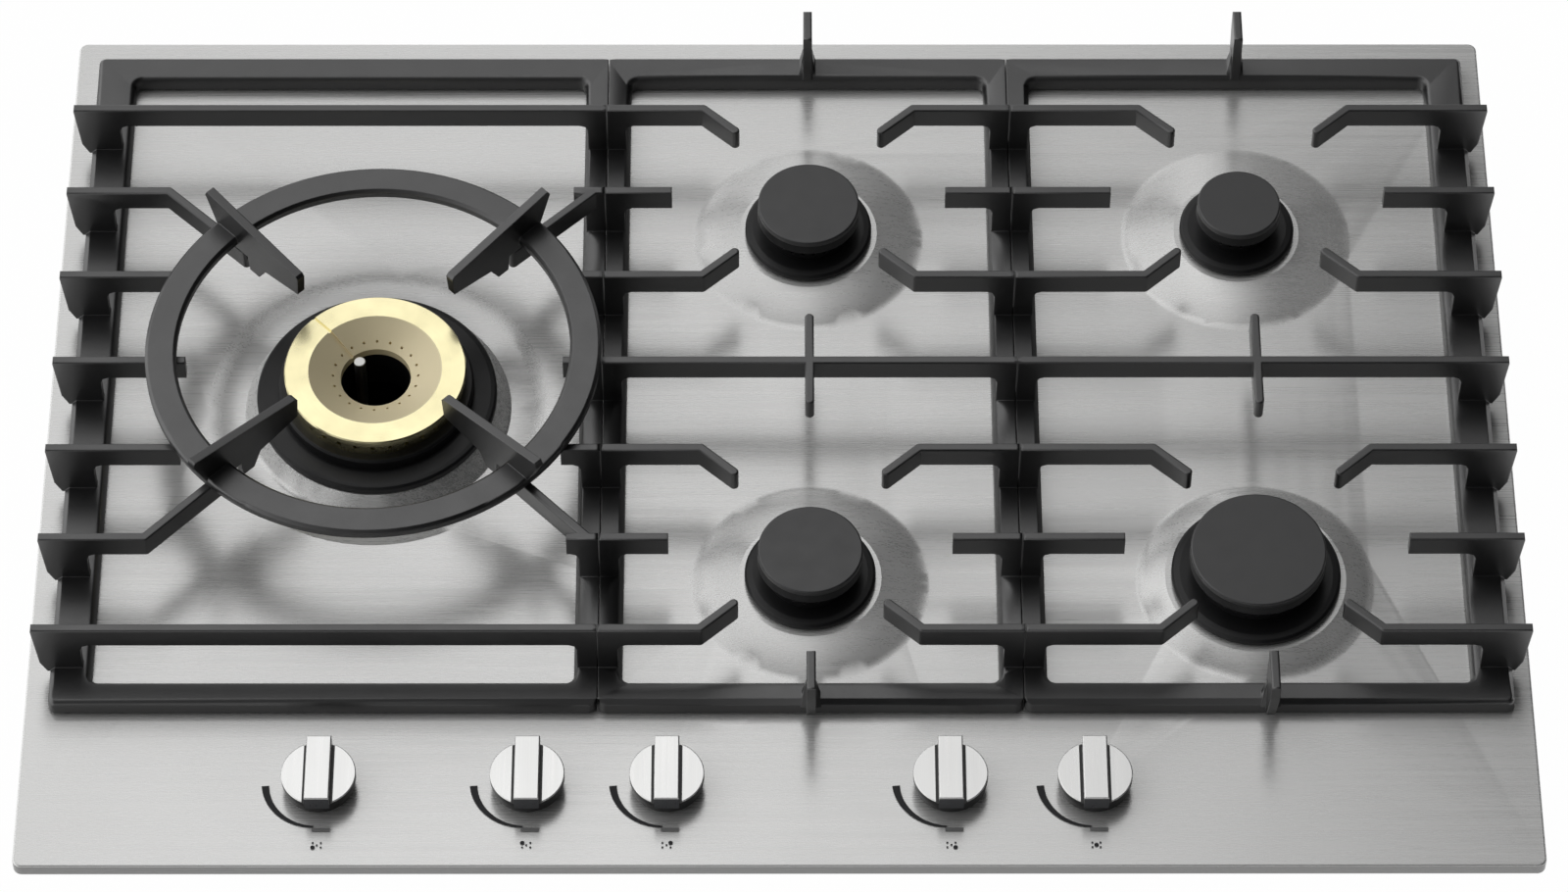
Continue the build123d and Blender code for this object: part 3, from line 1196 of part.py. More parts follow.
def burner_grate(x_low, x_high, sides):
    """A pan support over a rear and a front burner."""
    bars = [OUTER_BAR if side.outer else SEAM_BAR for side in sides]
    middle = (x_low + x_high) / 2
    parts = burner_rows(middle, ROWS[1], sides) + burner_rows(middle, ROWS[5], sides)
    parts.append(cross_blade(sides, MIDDLE_ROW))
    parts.append(diagonal_finger((middle, LONG_FINGER[0]), (middle, LONG_FINGER[1])))
    parts.append(end_post(middle, REAR_POST_TIP, FRAME_REAR - 1.5, FRAME_REAR - REAR_BAR + 1.0))
    parts.append(end_post(middle, FRONT_POST_TIP, FRONT_POST_FOOT, FRONT_POST_END))
    return grate_frame(x_low, x_high, *bars) + parts


def left_grate():
    """The pan support round the wok burner."""
    sides = (Side(LEFT_EDGE, 1, True), Side(LEFT_SEAM[0], -1, False))
    grate = grate_frame(LEFT_EDGE, LEFT_SEAM[0], OUTER_BAR, SEAM_BAR)
    parts = [cross_blade(sides, ROWS[0]), cross_blade(sides, ROWS[-1])]
    reach = WOK_FINGER_RADIUS * cos(radians(DIAGONAL))
    for side in sides:
        bend_x = WOK_X - side.inward * WOK_BEND_OFFSET
        end_x = bend_x if side.outer else side.edge + side.inward * (SEAM_BAR + BLADE_ROUNDING)
        for row, toward in ((ROWS[1], 1), (ROWS[-2], -1)):
            tip = (WOK_X - side.inward * reach, WOK_Y + toward * reach)
            parts += [stub_blade(side, end_x, row, plain=True), diagonal_finger((bend_x, row), tip)]
        parts += [stub_blade(side, WOK_X - side.inward * WOK_STUB_END, row) for row in ROWS[2:-2]]
    return grate + parts


def feet_places(x_low, x_high, left_bar, right_bar):
    """The four foot places of a pan support, in the middle of its side bars."""
    ends = (FRAME_FRONT + FOOT_INSET, FRAME_REAR - FOOT_INSET)
    return [(x, y) for x in (x_low + left_bar / 2, x_high - right_bar / 2) for y in ends]


def grate_feet(places):
    """The rubber feet pressed into the underside of a pan support."""
    low = PLATE_TOP + BAR_LOW
    feet = []
    for x, y in places:
        foot = post(FOOT_RADIUS, PLATE_TOP, low, x, y)
        feet.append(foot + post(FOOT_RADIUS / 2, low, low + FOOT_SEAT, x, y))
    return feet


def with_foot_holes(grate, places):
    """A pan support with blind holes for its feet."""
    low = PLATE_TOP + BAR_LOW
    return grate - [post(FOOT_RADIUS / 2 + PRESS, low, low + FOOT_SEAT + PRESS, x, y) for x, y in places]


def wok_stand():
    """The loose ring with four sloping fingers that holds a wok."""
    low = COOKING_PLANE
    ring_top = PLATE_TOP + STAND_RING_TOP
    across, up = STAND_RING_CHAMFER
    edge = STAND_RING_EDGE
    stand = turned([
        (STAND_INNER + across, low), (STAND_OUTER - across, low), (STAND_OUTER, low + up),
        (STAND_OUTER, ring_top - edge), (STAND_OUTER - edge, ring_top),
        (STAND_INNER + edge, ring_top), (STAND_INNER, ring_top - edge), (STAND_INNER, low + up),
    ], WOK_X, WOK_Y)
    outside = STAND_OUTER - across - 1.0
    lug_in, lug_out = STAND_LUG
    outline = [
        (outside, COOKING_HEIGHT), (STAND_OUTER - 1.0, STAND_RING_TOP - 2 * edge),
        (STAND_PEAK_RADIUS, STAND_PEAK - 3.0), (STAND_PEAK_RADIUS - 1.5, STAND_PEAK),
        (STAND_TIP_RADIUS + 1.5, STAND_TIP + 0.5), (STAND_TIP_RADIUS, STAND_TIP - 1.0),
        (STAND_TIP_RADIUS + 1.0, STAND_TIP_LOW), (lug_in - 4.0, COOKING_HEIGHT - 1.0),
        (lug_in + 1.0, STAND_LUG_LOW), (lug_out - 1.0, STAND_LUG_LOW), (lug_out, COOKING_HEIGHT),
    ]
    blade = Polyline(*[(r, PLATE_TOP + height) for r, height in outline], close=True)
    finger = extrude(Plane.XZ * make_face(blade), BLADE / 2, both=True)
    for _, _, angle in ring_points(4, 1.0, 0, 0, start=DIAGONAL):
        stand += Pos(WOK_X, WOK_Y, 0) * (Rot(0, 0, angle) * finger)
    return stand


def build_parts():
    """Every sub-part of the cooktop by name; a list is a group of separate like pieces."""
    parts = {
        "top_plate": top_plate(),
        "rim_seal": rim_seal(),
        "burner_box": burner_box(),
        "box_nuts": box_nuts(),
        "cup_brackets": cup_brackets(),
        "worktop_clamps": worktop_clamps(),
        "clamp_screws": clamp_screws(),
        "gas_rail": gas_rail(),
        "gas_inlet": gas_inlet(),
        "inlet_nut": inlet_nut(),
        "tap_bodies": [tap_body(index) for index in range(len(KNOB_X))],
        "tap_bonnets": [tap_bonnet(x) for x in KNOB_X],
        "tap_screws": tap_screws(),
        "plug_springs": [plug_spring(x) for x in KNOB_X],
        "gas_pipes": gas_pipes(),
        "injectors": injectors(),
        "wok_base": wok_base(),
        "rapid_base": burner_base(BURNERS["rapid"]),
        "semirapid_bases": [burner_base(BURNERS[f"semirapid_{place}"]) for place in ("rear", "front")],
        "aux_base": burner_base(BURNERS["aux"]),
        "base_screws": base_screws(),
        "spark_insulators": spark_insulators(),
        "spark_pins": spark_pins(),
        "thermocouples": thermocouples(),
        "ignition_module": ignition_module(),
        "ignition_leads": ignition_leads(),
        "terminal_block": terminal_block(),
        "stem_gaskets": [stem_gasket(x) for x in KNOB_X],
        "wok_crown": wok_crown(),
        "wok_flame_ring": wok_flame_ring(),
        "wok_stand": wok_stand(),
    }
    for name, burner in BURNERS.items():
        parts[f"{name}_crown"] = burner_crown(burner)
        parts[f"{name}_cap"] = burner_cap(burner)
    for number, x in enumerate(KNOB_X, start=1):
        parts[f"knob_{number}"] = knob(x)
        parts[f"tap_stem_{number}"] = tap_stem(x)
        parts[f"tap_plug_{number}"] = tap_plug(x)
    centre_sides = (Side(LEFT_SEAM[1], 1, False), Side(RIGHT_SEAM[0], -1, False))
    right_sides = (Side(RIGHT_SEAM[1], 1, False), Side(RIGHT_EDGE, -1, True))
    grates = {
        "left": (left_grate(), feet_places(LEFT_EDGE, LEFT_SEAM[0], OUTER_BAR, SEAM_BAR)),
        "centre": (burner_grate(LEFT_SEAM[1], RIGHT_SEAM[0], centre_sides),
                   feet_places(LEFT_SEAM[1], RIGHT_SEAM[0], SEAM_BAR, SEAM_BAR)),
        "right": (burner_grate(RIGHT_SEAM[1], RIGHT_EDGE, right_sides),
                  feet_places(RIGHT_SEAM[1], RIGHT_EDGE, SEAM_BAR, OUTER_BAR)),
    }
    for name, (grate, places) in grates.items():
        parts[f"{name}_grate"] = with_foot_holes(grate, places)
        parts[f"{name}_grate_feet"] = grate_feet(places)
    return parts


def main():
    """Writes one STEP file per sub-part."""
    os.makedirs("parts", exist_ok=True)
    for name, shape in build_parts().items():
        if isinstance(shape, list):
            shape = Compound(children=shape)
        export_step(shape, f"parts/{name}.step")


main()
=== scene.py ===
"""Looks of a five-burner gas cooktop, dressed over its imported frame.

Metres, +Z up, +Y to the rear wall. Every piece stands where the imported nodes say.
"""
import logging
from dataclasses import dataclass, field
from enum import Enum
from math import atan2, hypot, pi, radians

import bmesh
import bpy
from mathutils import Matrix, Vector


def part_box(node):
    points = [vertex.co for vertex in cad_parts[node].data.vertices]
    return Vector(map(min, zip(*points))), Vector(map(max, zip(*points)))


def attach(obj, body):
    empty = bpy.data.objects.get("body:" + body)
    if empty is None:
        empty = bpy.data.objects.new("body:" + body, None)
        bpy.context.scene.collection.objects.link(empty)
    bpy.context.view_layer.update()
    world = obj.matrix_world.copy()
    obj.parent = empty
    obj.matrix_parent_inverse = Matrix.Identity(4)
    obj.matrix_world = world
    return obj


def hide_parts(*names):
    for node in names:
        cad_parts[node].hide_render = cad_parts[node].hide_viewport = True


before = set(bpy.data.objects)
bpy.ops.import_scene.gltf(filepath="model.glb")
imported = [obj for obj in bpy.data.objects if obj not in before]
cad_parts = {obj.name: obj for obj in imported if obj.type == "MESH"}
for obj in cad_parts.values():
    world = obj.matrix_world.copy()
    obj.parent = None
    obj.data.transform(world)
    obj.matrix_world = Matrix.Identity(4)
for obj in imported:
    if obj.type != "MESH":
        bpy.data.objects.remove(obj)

LOG = logging.getLogger("cooktop")
MM = 0.001
Colour = tuple[float, float, float]
Place = tuple[float, float, float]
Span = tuple[float, float]
Socket = bpy.types.NodeSocket
Source = Socket | float

NOISE_ROUGHNESS = 0.55
EDGE_SAMPLES = 6
EDGE_MATCH: Span = (0.995, 0.88)
FACE_WEIGHT = 90
MERGE_REACH = 0.001 * MM


class Slot(Enum):
    """The names of the record's material slots."""

    PLATE = "brushed_plate"
    BURNER = "burner_black"
    IRON = "cast_iron"


class Grain(Enum):
    """Which way a metal's fine scratches run."""

    ALONG_X = (0.012, 1.0, 1.0)
    ALONG_Y = (1.0, 0.012, 1.0)


# Materials


class NodeTree:
    """The nodes of a material or the world, with short calls that add them and link them."""

    def __init__(self, owner: bpy.types.Material | bpy.types.World) -> None:
        """Opens the owner's nodes.

        Args:
            owner: The material or world.
        """
        owner.use_nodes = True
        self.nodes = owner.node_tree.nodes
        self.links = owner.node_tree.links

    def add(self, kind: str, inputs: dict[str | int, object], **settings: object) -> bpy.types.Node:
        """Adds a node, sets its options and fills or links its inputs.

        Args:
            kind: The node's class name after "ShaderNode".
            inputs: Values or sockets by the input's name or place.
            settings: The node's own options.

        Returns:
            The new node.
        """
        node = self.nodes.new("ShaderNode" + kind)
        for key, value in settings.items():
            setattr(node, key, value)
        for key, value in inputs.items():
            self.feed(node.inputs[key], value)
        return node

    def feed(self, socket: Socket, value: object) -> None:
        """Links a socket to another one, or writes a plain value on it.

        Args:
            socket: The input that gets the value.
            value: A socket, a number or a tuple of numbers.
        """
        if isinstance(value, Socket):
            self.links.new(value, socket)
        else:
            socket.default_value = value

    def white_for(self, *rays: str) -> Socket:
        """A mask that is 1 for the named kinds of ray.

        Args:
            rays: The kinds, such as "Camera" or "Glossy".

        Returns:
            The mask.
        """
        path = self.add("LightPath", {})
        mask = path.outputs[f"Is {rays[0]} Ray"]
        for ray in rays[1:]:
            mask = self.sum("MAXIMUM", mask, path.outputs[f"Is {ray} Ray"])
        return mask

    def place(self, centre: Vector | None = None) -> Socket:
        """The point in the row frame, measured from a centre if one is given."""
        point = self.add("TexCoord", {}).outputs["Object"]
        if centre is None:
            return point
        return self.add("Mapping", {"Vector": point, "Location": tuple(-centre)}).outputs[0]

    def stretched(self, point: Socket, scale: Place) -> Socket:
        """The point with each of its axes scaled."""
        return self.add("Mapping", {"Vector": point, "Scale": scale}).outputs[0]

    def noise(self, point: Socket, scale: float, detail: float = 2.0) -> Socket:
        """A cloudy pattern from 0 to 1 with about `scale` spots per metre."""
        values = {"Vector": point, "Scale": scale, "Detail": detail, "Roughness": NOISE_ROUGHNESS}
        return self.add("TexNoise", values).outputs["Fac"]

    def remap(self, value: Source, old: Span, new: Span = (0.0, 1.0), soft: bool = False) -> Socket:
        """Moves a value from one range to another and keeps it inside.

        Args:
            value: The value.
            old: The range it comes from, from the end that gives new's first value.
            new: The range it goes to.
            soft: Whether the ends are rounded off.

        Returns:
            The moved value.
        """
        values = {"Value": value, "From Min": old[0], "From Max": old[1], "To Min": new[0], "To Max": new[1]}
        kind = "SMOOTHSTEP" if soft else "LINEAR"
        return self.add("MapRange", values, interpolation_type=kind, clamp=True).outputs["Result"]

    def sum(self, kind: str, first: Source, second: Source) -> Socket:
        """One arithmetic step on two values."""
        return self.add("Math", {0: first, 1: second}, operation=kind).outputs[0]

    def mix(self, share: Source, first: Colour | Socket, second: Colour | Socket) -> Socket:
        """A colour between two others."""
        node = self.nodes.new("ShaderNodeMix")
        node.data_type = "RGBA"
        self.feed(node.inputs["Factor"], share)
        for socket, colour in ((node.inputs[6], first), (node.inputs[7], second)):
            self.feed(socket, colour if isinstance(colour, Socket) else (*colour, 1.0))
        return node.outputs[2]


class Surface(NodeTree):
    """A material with a Principled shader."""

    def __init__(self, name: str) -> None:
        """Starts the material.

        Args:
            name: The material's name.
        """
        self.material = bpy.data.materials.new(name)
        super().__init__(self.material)
        self.shader = self.nodes["Principled BSDF"]

    def leaning(self, axis: int, low: float, high: float) -> Socket:
        """A mask that goes from 0 to 1 as the piece's own normal turns along an axis.

        Args:
            axis: The axis, 0 for X, 1 for Y or 2 for Z.
            low: The normal's part along the axis where the mask is 0.
            high: The part where it is 1.

        Returns:
            The mask.
        """
        normal = self.add("TexCoord", {}).outputs["Normal"]
        return self.remap(self.add("SeparateXYZ", {0: normal}).outputs[axis], (low, high))

    def relief(self, height: Source, depth: float, under: Socket | None = None) -> None:
        """Gives the shader a surface relief.

        Args:
            height: The relief's pattern from 0 to 1.
            depth: Its real depth in metres.
            under: A normal that the relief is laid over.
        """
        values = {"Height": height, "Distance": depth, "Strength": 1.0}
        if under is not None:
            values["Normal"] = under
        self.feed(self.shader.inputs["Normal"], self.add("Bump", values).outputs[0])

    def edges(self, radius: float) -> tuple[Socket, Socket]:
        """Finds the edges of a piece.

        Args:
            radius: How far from an edge its wear reaches.

        Returns:
            The softened normal, and a mask that is 1 on edges and 0 on open faces.
        """
        soft = self.add("Bevel", {"Radius": radius}, samples=EDGE_SAMPLES).outputs[0]
        flat = self.add("NewGeometry", {}).outputs["Normal"]
        same = self.add("VectorMath", {0: soft, 1: flat}, operation="DOT_PRODUCT").outputs["Value"]
        return soft, self.remap(same, EDGE_MATCH)


@dataclass(frozen=True)
class Finish:
    """What every finish has."""

    name: str
    colour: Colour
    roughness: float

    def start(self, metallic: float = 0.0) -> Surface:
        """A surface whose shader has this finish's plain values."""
        tree = Surface(self.name)
        tree.shader.inputs["Base Color"].default_value = (*self.colour, 1.0)
        tree.shader.inputs["Roughness"].default_value = self.roughness
        tree.shader.inputs["Metallic"].default_value = metallic
        return tree

    def toned(self, share: float) -> Colour:
        """The finish's colour made lighter or darker by a share."""
        return tuple(min(1.0, part * share) for part in self.colour)

    def make(self) -> bpy.types.Material:
        """Builds the material."""
        return self.start().material


@dataclass(frozen=True)
class BrushedSteel(Finish):
    """Sheet steel with long fine scratches one way."""

    grain: Grain = Grain.ALONG_X
    lines: float = 1500.0
    broader: float = 7.0
    fine_share: float = 0.6
    contrast: Span = (0.36, 0.64)
    tones: Span = (0.95, 1.03)
    scratch_depth: float = 0.0035 * MM
    smudges: float = 9.0
    anisotropy: float = 0.7
    grain_map: str = ""
    # Painted shade on the upright sides: the share of the colour they keep, and the range of the normal's
    # height part over which it fades in.
    side_shade_tone: float = 1.0
    side_shade_lean: Span = (0.45, 0.3)
    metal: float = 1.0

    def make(self) -> bpy.types.Material:
        """Builds the scratches, the smudged gloss, the stretched highlight and a painted shade on chosen
        faces.
        """
        tree = self.start(self.metal)
        scratched = tree.stretched(tree.place(), self.grain.value)
        fine = tree.noise(scratched, self.lines, 4.0)
        broad = tree.noise(scratched, self.lines / self.broader, 3.0)
        smudge = tree.noise(tree.place(), self.smudges)
        both = tree.sum("ADD", tree.sum("MULTIPLY", fine, self.fine_share),
                        tree.sum("MULTIPLY", broad, 1.0 - self.fine_share))
        dark, light = (self.toned(tone) for tone in self.tones)
        shine = tree.mix(tree.remap(both, self.contrast), dark, light)
        rough = tree.sum("ADD", tree.remap(both, (0.35, 0.65), (-0.04, 0.04)),
                         tree.remap(smudge, (0.3, 0.7), (-0.015, 0.015)))
        # Painted shade: darker colour on chosen faces.
        shine = self.with_painted_shade(tree, shine)
        tree.feed(tree.shader.inputs["Base Color"], shine)
        tree.feed(tree.shader.inputs["Roughness"], tree.sum("ADD", rough, self.roughness))
        tree.relief(both, self.scratch_depth)
        if self.grain_map:
            tangent = tree.add("Tangent", {}, direction_type="UV_MAP", uv_map=self.grain_map)
            tree.feed(tree.shader.inputs["Tangent"], tangent.outputs[0])
            tree.shader.inputs["Anisotropic"].default_value = self.anisotropy
        return tree.material

    def with_painted_shade(self, tree: Surface, shine: Socket) -> Socket:
        """Paints shade on the upright folded sides: they are coloured darker than the brushed top.

        Args:
            tree: The surface being built.
            shine: Its colour so far.

        Returns:
            The colour with the painted shade on the sides.
        """
        return tree.mix(tree.leaning(2, *self.side_shade_lean), shine, self.toned(self.side_shade_tone))


@dataclass(frozen=True)
class KnobSteel(BrushedSteel):
    """A satin knob: steel on top; black below the disc's edge, the body's own black that also covers the
    disc's side wall as painted shade; grey on the grip's front-facing end as a painted dark reflection.
    """

    # Black below the disc's edge: the body's paint, and painted shade on the disc's side wall.
    body: Colour = (0.006, 0.006, 0.0065)
    # Grey on the grip's front-facing end: a painted dark reflection.
    end: Colour = (0.06, 0.062, 0.067)
    end_lean: Span = (-0.96, -0.985)
    edge_height: float = 0.0
    end_height: float = 0.0
    blend: float = 0.3 * MM

    def with_painted_shade(self, tree: Surface, shine: Socket) -> Socket:
        """Paints the body black under the disc's edge, which also lays painted shade on the disc's side
        wall, and paints a dark reflection in grey on the grip's front-facing end.

        Args:
            tree: The surface being built.
            shine: Its colour so far.

        Returns:
            The colour with the black body, the painted shade and the painted reflection.
        """
        height = tree.add("SeparateXYZ", {0: tree.place()}).outputs[2]
        # Black body below the disc's edge, which also paints shade on the disc's side wall.
        below = tree.remap(height, (self.edge_height, self.edge_height - self.blend))
        over = tree.remap(height, (self.end_height - self.blend, self.end_height))
        # Painted reflection: the grip's end face that faces the front.
        front = tree.sum("MULTIPLY", tree.leaning(1, *self.end_lean), over)
        painted = tree.sum("MAXIMUM", below, front)
        tree.feed(tree.shader.inputs["Metallic"], tree.sum("SUBTRACT", 1.0, painted))
        return tree.mix(front, tree.mix(below, shine, self.body), self.end)


@dataclass(frozen=True)
class CastSurface(Finish):
    """A cast, enamelled, moulded or rubber surface: mottled, pitted and worn on its edges."""

    metallic: float = 0.0
    spots: float = 600.0
    clouds: float = 14.0
    tone: float = 0.12
    pit_depth: float = 0.03 * MM
    worn: Colour | None = None
    wear_reach: float = 0.7 * MM
    gloss: float = 0.5
    index: float = 1.5

    def make(self) -> bpy.types.Material:
        """Builds the mottling, the relief and the worn edges."""
        tree = self.start(self.metallic)
        tree.shader.inputs["Specular IOR Level"].default_value = self.gloss
        tree.shader.inputs["IOR"].default_value = self.index
        place = tree.place()
        spots = tree.noise(place, self.spots, 3.0)
        clouds = tree.noise(place, self.spots / self.clouds)
        mottled = tree.sum("ADD", tree.sum("MULTIPLY", spots, 0.5), tree.sum("MULTIPLY", clouds, 0.5))
        tone = tree.mix(tree.remap(mottled, (0.35, 0.65)),
                        self.toned(1.0 - self.tone), self.toned(1.0 + self.tone))
        soft = None
        if self.worn is not None:
            soft, edge = tree.edges(self.wear_reach)
            rubbed = tree.sum("MULTIPLY", edge, tree.remap(clouds, (0.3, 0.6), (0.35, 1.0)))
            tone = tree.mix(rubbed, tone, self.worn)
        tree.feed(tree.shader.inputs["Base Color"], tone)
        rough = tree.remap(mottled, (0.3, 0.7), (self.roughness - 0.05, self.roughness + 0.06))
        tree.feed(tree.shader.inputs["Roughness"], rough)
        tree.relief(spots, self.pit_depth, soft)
        return tree.material


@dataclass(frozen=True)
class TurnedMetal(Finish):
    """Metal with fine tool marks round an upright axis."""

    centre: Span = (0.0, 0.0)
    pitch: float = 0.28 * MM
    mark_depth: float = 0.003 * MM
    tones: Span = (0.92, 1.05)
    stains: float = 60.0
    dull: Colour | None = None
    dull_inside: float = 0.0
    dull_metal: float = 0.15
    dull_blend: float = 0.4 * MM

    def make(self) -> bpy.types.Material:
        """Builds the rings of the tool and the duller inner part."""
        tree = self.start(1.0)
        place = tree.place(Vector((*self.centre, 0.0)))
        parts = tree.add("SeparateXYZ", {0: place})
        flat = tree.add("CombineXYZ", {0: parts.outputs[0], 1: parts.outputs[1], 2: 0.0}).outputs[0]
        radius = tree.add("VectorMath", {0: flat}, operation="LENGTH").outputs["Value"]
        line = tree.add("CombineXYZ", {0: radius, 1: 0.0, 2: 0.0}).outputs[0]
        marks = tree.noise(line, 1.0 / self.pitch, 3.0)
        stains = tree.noise(place, self.stains, 3.0)
        dark, light = (self.toned(tone) for tone in self.tones)
        bright = tree.mix(tree.remap(marks, (0.3, 0.7)), dark, light)
        rough = tree.remap(stains, (0.3, 0.7), (self.roughness - 0.04, self.roughness + 0.05))
        if self.dull is not None:
            border = (self.dull_inside + self.dull_blend, self.dull_inside - self.dull_blend)
            inside = tree.remap(radius, border)
            bright = tree.mix(inside, bright, self.dull)
            rough = tree.sum("ADD", rough, tree.sum("MULTIPLY", inside, 0.12))
            tree.feed(tree.shader.inputs["Metallic"], tree.remap(inside, (0.0, 1.0), (1.0, self.dull_metal)))
        tree.feed(tree.shader.inputs["Base Color"], bright)
        tree.feed(tree.shader.inputs["Roughness"], rough)
        tree.relief(marks, self.mark_depth)
        return tree.material


@dataclass(frozen=True)
class SpangledZinc(Finish):
    """Zinc-coated sheet with its crystal pattern."""

    crystals: float = 110.0
    metal: float = 0.85
    tones: Span = (0.82, 1.1)
    grains: float = 1400.0
    grain_depth: float = 0.004 * MM

    def make(self) -> bpy.types.Material:
        """Builds the crystals, each with a tone and gloss of its own."""
        tree = self.start(self.metal)
        place = tree.place()
        cells = tree.add("TexVoronoi", {"Vector": place, "Scale": self.crystals, "Randomness": 1.0})
        grey = tree.add("RGBToBW", {0: cells.outputs["Color"]}).outputs[0]
        dark, light = (self.toned(tone) for tone in self.tones)
        tree.feed(tree.shader.inputs["Base Color"], tree.mix(grey, dark, light))
        rough = tree.sum("ADD", tree.remap(grey, (0.0, 1.0), (-0.07, 0.07)), self.roughness)
        tree.feed(tree.shader.inputs["Roughness"], rough)
        tree.relief(tree.noise(place, self.grains, 3.0), self.grain_depth)
        return tree.material


STEEL: Colour = (0.86, 0.86, 0.85)
# The plate's upright folded sides keep a third of its colour as painted shade.
PLATE_STEEL = BrushedSteel("brushed_plate_steel", STEEL, 0.28, lines=2200.0, anisotropy=0.5,
                           grain_map="grain", side_shade_tone=0.33, metal=0.5)
GRATE_IRON = CastSurface("grate_cast_iron", (0.006, 0.006, 0.0066), 0.36, spots=900.0, tone=0.2,
                         worn=(0.02, 0.02, 0.0215), wear_reach=0.8 * MM, gloss=0.6, index=1.95)
BURNER_BLACK = CastSurface("burner_black_paint", (0.008, 0.008, 0.0088), 0.42, spots=1200.0, tone=0.15,
                           pit_depth=0.02 * MM, worn=(0.03, 0.03, 0.033), wear_reach=0.6 * MM)
CAP_ENAMEL = CastSurface("cap_enamel_grey", (0.01, 0.01, 0.0112), 0.4, spots=1600.0, tone=0.1,
                         pit_depth=0.01 * MM, worn=(0.06, 0.06, 0.064), wear_reach=0.5 * MM, index=1.85)
BOX_ZINC = SpangledZinc("box_zinc_sheet", (0.58, 0.59, 0.6), 0.42)
BRIGHT_ZINC = CastSurface("bright_zinc", (0.66, 0.66, 0.64), 0.32, metallic=1.0, spots=800.0, tone=0.07,
                          pit_depth=0.006 * MM)
FITTING_BRASS = CastSurface("fitting_brass", (0.72, 0.55, 0.26), 0.3, metallic=1.0, spots=500.0, tone=0.1,
                            pit_depth=0.008 * MM)
CAST_ALUMINIUM = CastSurface("cast_aluminium", (0.6, 0.61, 0.62), 0.45, metallic=1.0, spots=700.0, tone=0.1,
                             pit_depth=0.03 * MM)
SEAL_FOAM = CastSurface("seal_foam", (0.03, 0.03, 0.03), 0.9, spots=2200.0, tone=0.4, pit_depth=0.1 * MM,
                        gloss=0.2)
CERAMIC_GLAZE = CastSurface("glazed_ceramic", (0.8, 0.78, 0.72), 0.2, spots=300.0, tone=0.03,
                            pit_depth=0.003 * MM)
MODULE_PLASTIC = CastSurface("moulded_plastic", (0.72, 0.72, 0.69), 0.45, spots=2600.0, tone=0.03,
                             pit_depth=0.012 * MM)
LEAD_SILICONE = CastSurface("lead_silicone", (0.6, 0.58, 0.54), 0.5, spots=900.0, tone=0.05,
                            pit_depth=0.006 * MM)
BLACK_RUBBER = CastSurface("black_rubber", (0.02, 0.02, 0.02), 0.7, spots=1400.0, tone=0.15,
                           pit_depth=0.015 * MM, gloss=0.3)
PRINT_INK = CastSurface("printed_ink", (0.03, 0.03, 0.033), 0.55, spots=2500.0, tone=0.2,
                        pit_depth=0.004 * MM, gloss=0.3)
FAINT_INK = CastSurface("faint_ink", (0.24, 0.24, 0.24), 0.5, spots=2500.0, tone=0.1, pit_depth=0.004 * MM,
                        gloss=0.3)


class Workshop:
    """Builds each material once and hands it out."""

    def __init__(self) -> None:
        """Starts with no material built."""
        self.made: dict[str, bpy.types.Material] = {}

    def material(self, finish: Finish) -> bpy.types.Material:
        """The material of a finish, built at its first use."""
        if finish.name not in self.made:
            self.made[finish.name] = finish.make()
        return self.made[finish.name]

    def dress(self, node: str, finish: Finish) -> None:
        """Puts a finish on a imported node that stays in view.

        Args:
            node: The node's name.
            finish: Its finish.
        """
        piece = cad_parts[node]
        for slot in piece.material_slots:
            slot.material = self.material(finish)
        LOG.info("dressed %s with %s", node, finish.name)

    def add(self, name: str, mesh: bmesh.types.BMesh, finish: Finish, body: str, slot: Slot,
            replaces: tuple[str, ...] = ()) -> bpy.types.Object:
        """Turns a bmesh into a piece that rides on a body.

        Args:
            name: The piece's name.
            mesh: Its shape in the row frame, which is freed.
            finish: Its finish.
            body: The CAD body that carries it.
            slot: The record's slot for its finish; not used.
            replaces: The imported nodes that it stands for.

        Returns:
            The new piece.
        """
        data = bpy.data.meshes.new(name)
        mesh.to_mesh(data)
        mesh.free()
        data.materials.append(self.material(finish))
        piece = bpy.data.objects.new(name, data)
        bpy.context.scene.collection.objects.link(piece)
        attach(piece, body)
        if replaces:
            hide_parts(*replaces)
        LOG.info("built %s on %s: %d faces", name, body, len(data.polygons))
        return piece


def merged_copy(node: str) -> bmesh.types.BMesh:
    """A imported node's shape with its loose triangles joined."""
    mesh = bmesh.new()
    mesh.from_mesh(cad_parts[node].data)
    bmesh.ops.remove_doubles(mesh, verts=mesh.verts, dist=MERGE_REACH)
    return mesh


def smooth_by_angle(piece: bpy.types.Object, angle: float) -> None:
    """Shades a piece smooth except where two faces meet at more than an angle in degrees."""
    piece.data.shade_smooth()
    piece.data.set_sharp_from_angle(angle=radians(angle))
    even = piece.modifiers.new("even_shading", "WEIGHTED_NORMAL")
    even.keep_sharp = True
    even.weight = FACE_WEIGHT


# Sub-assemblies


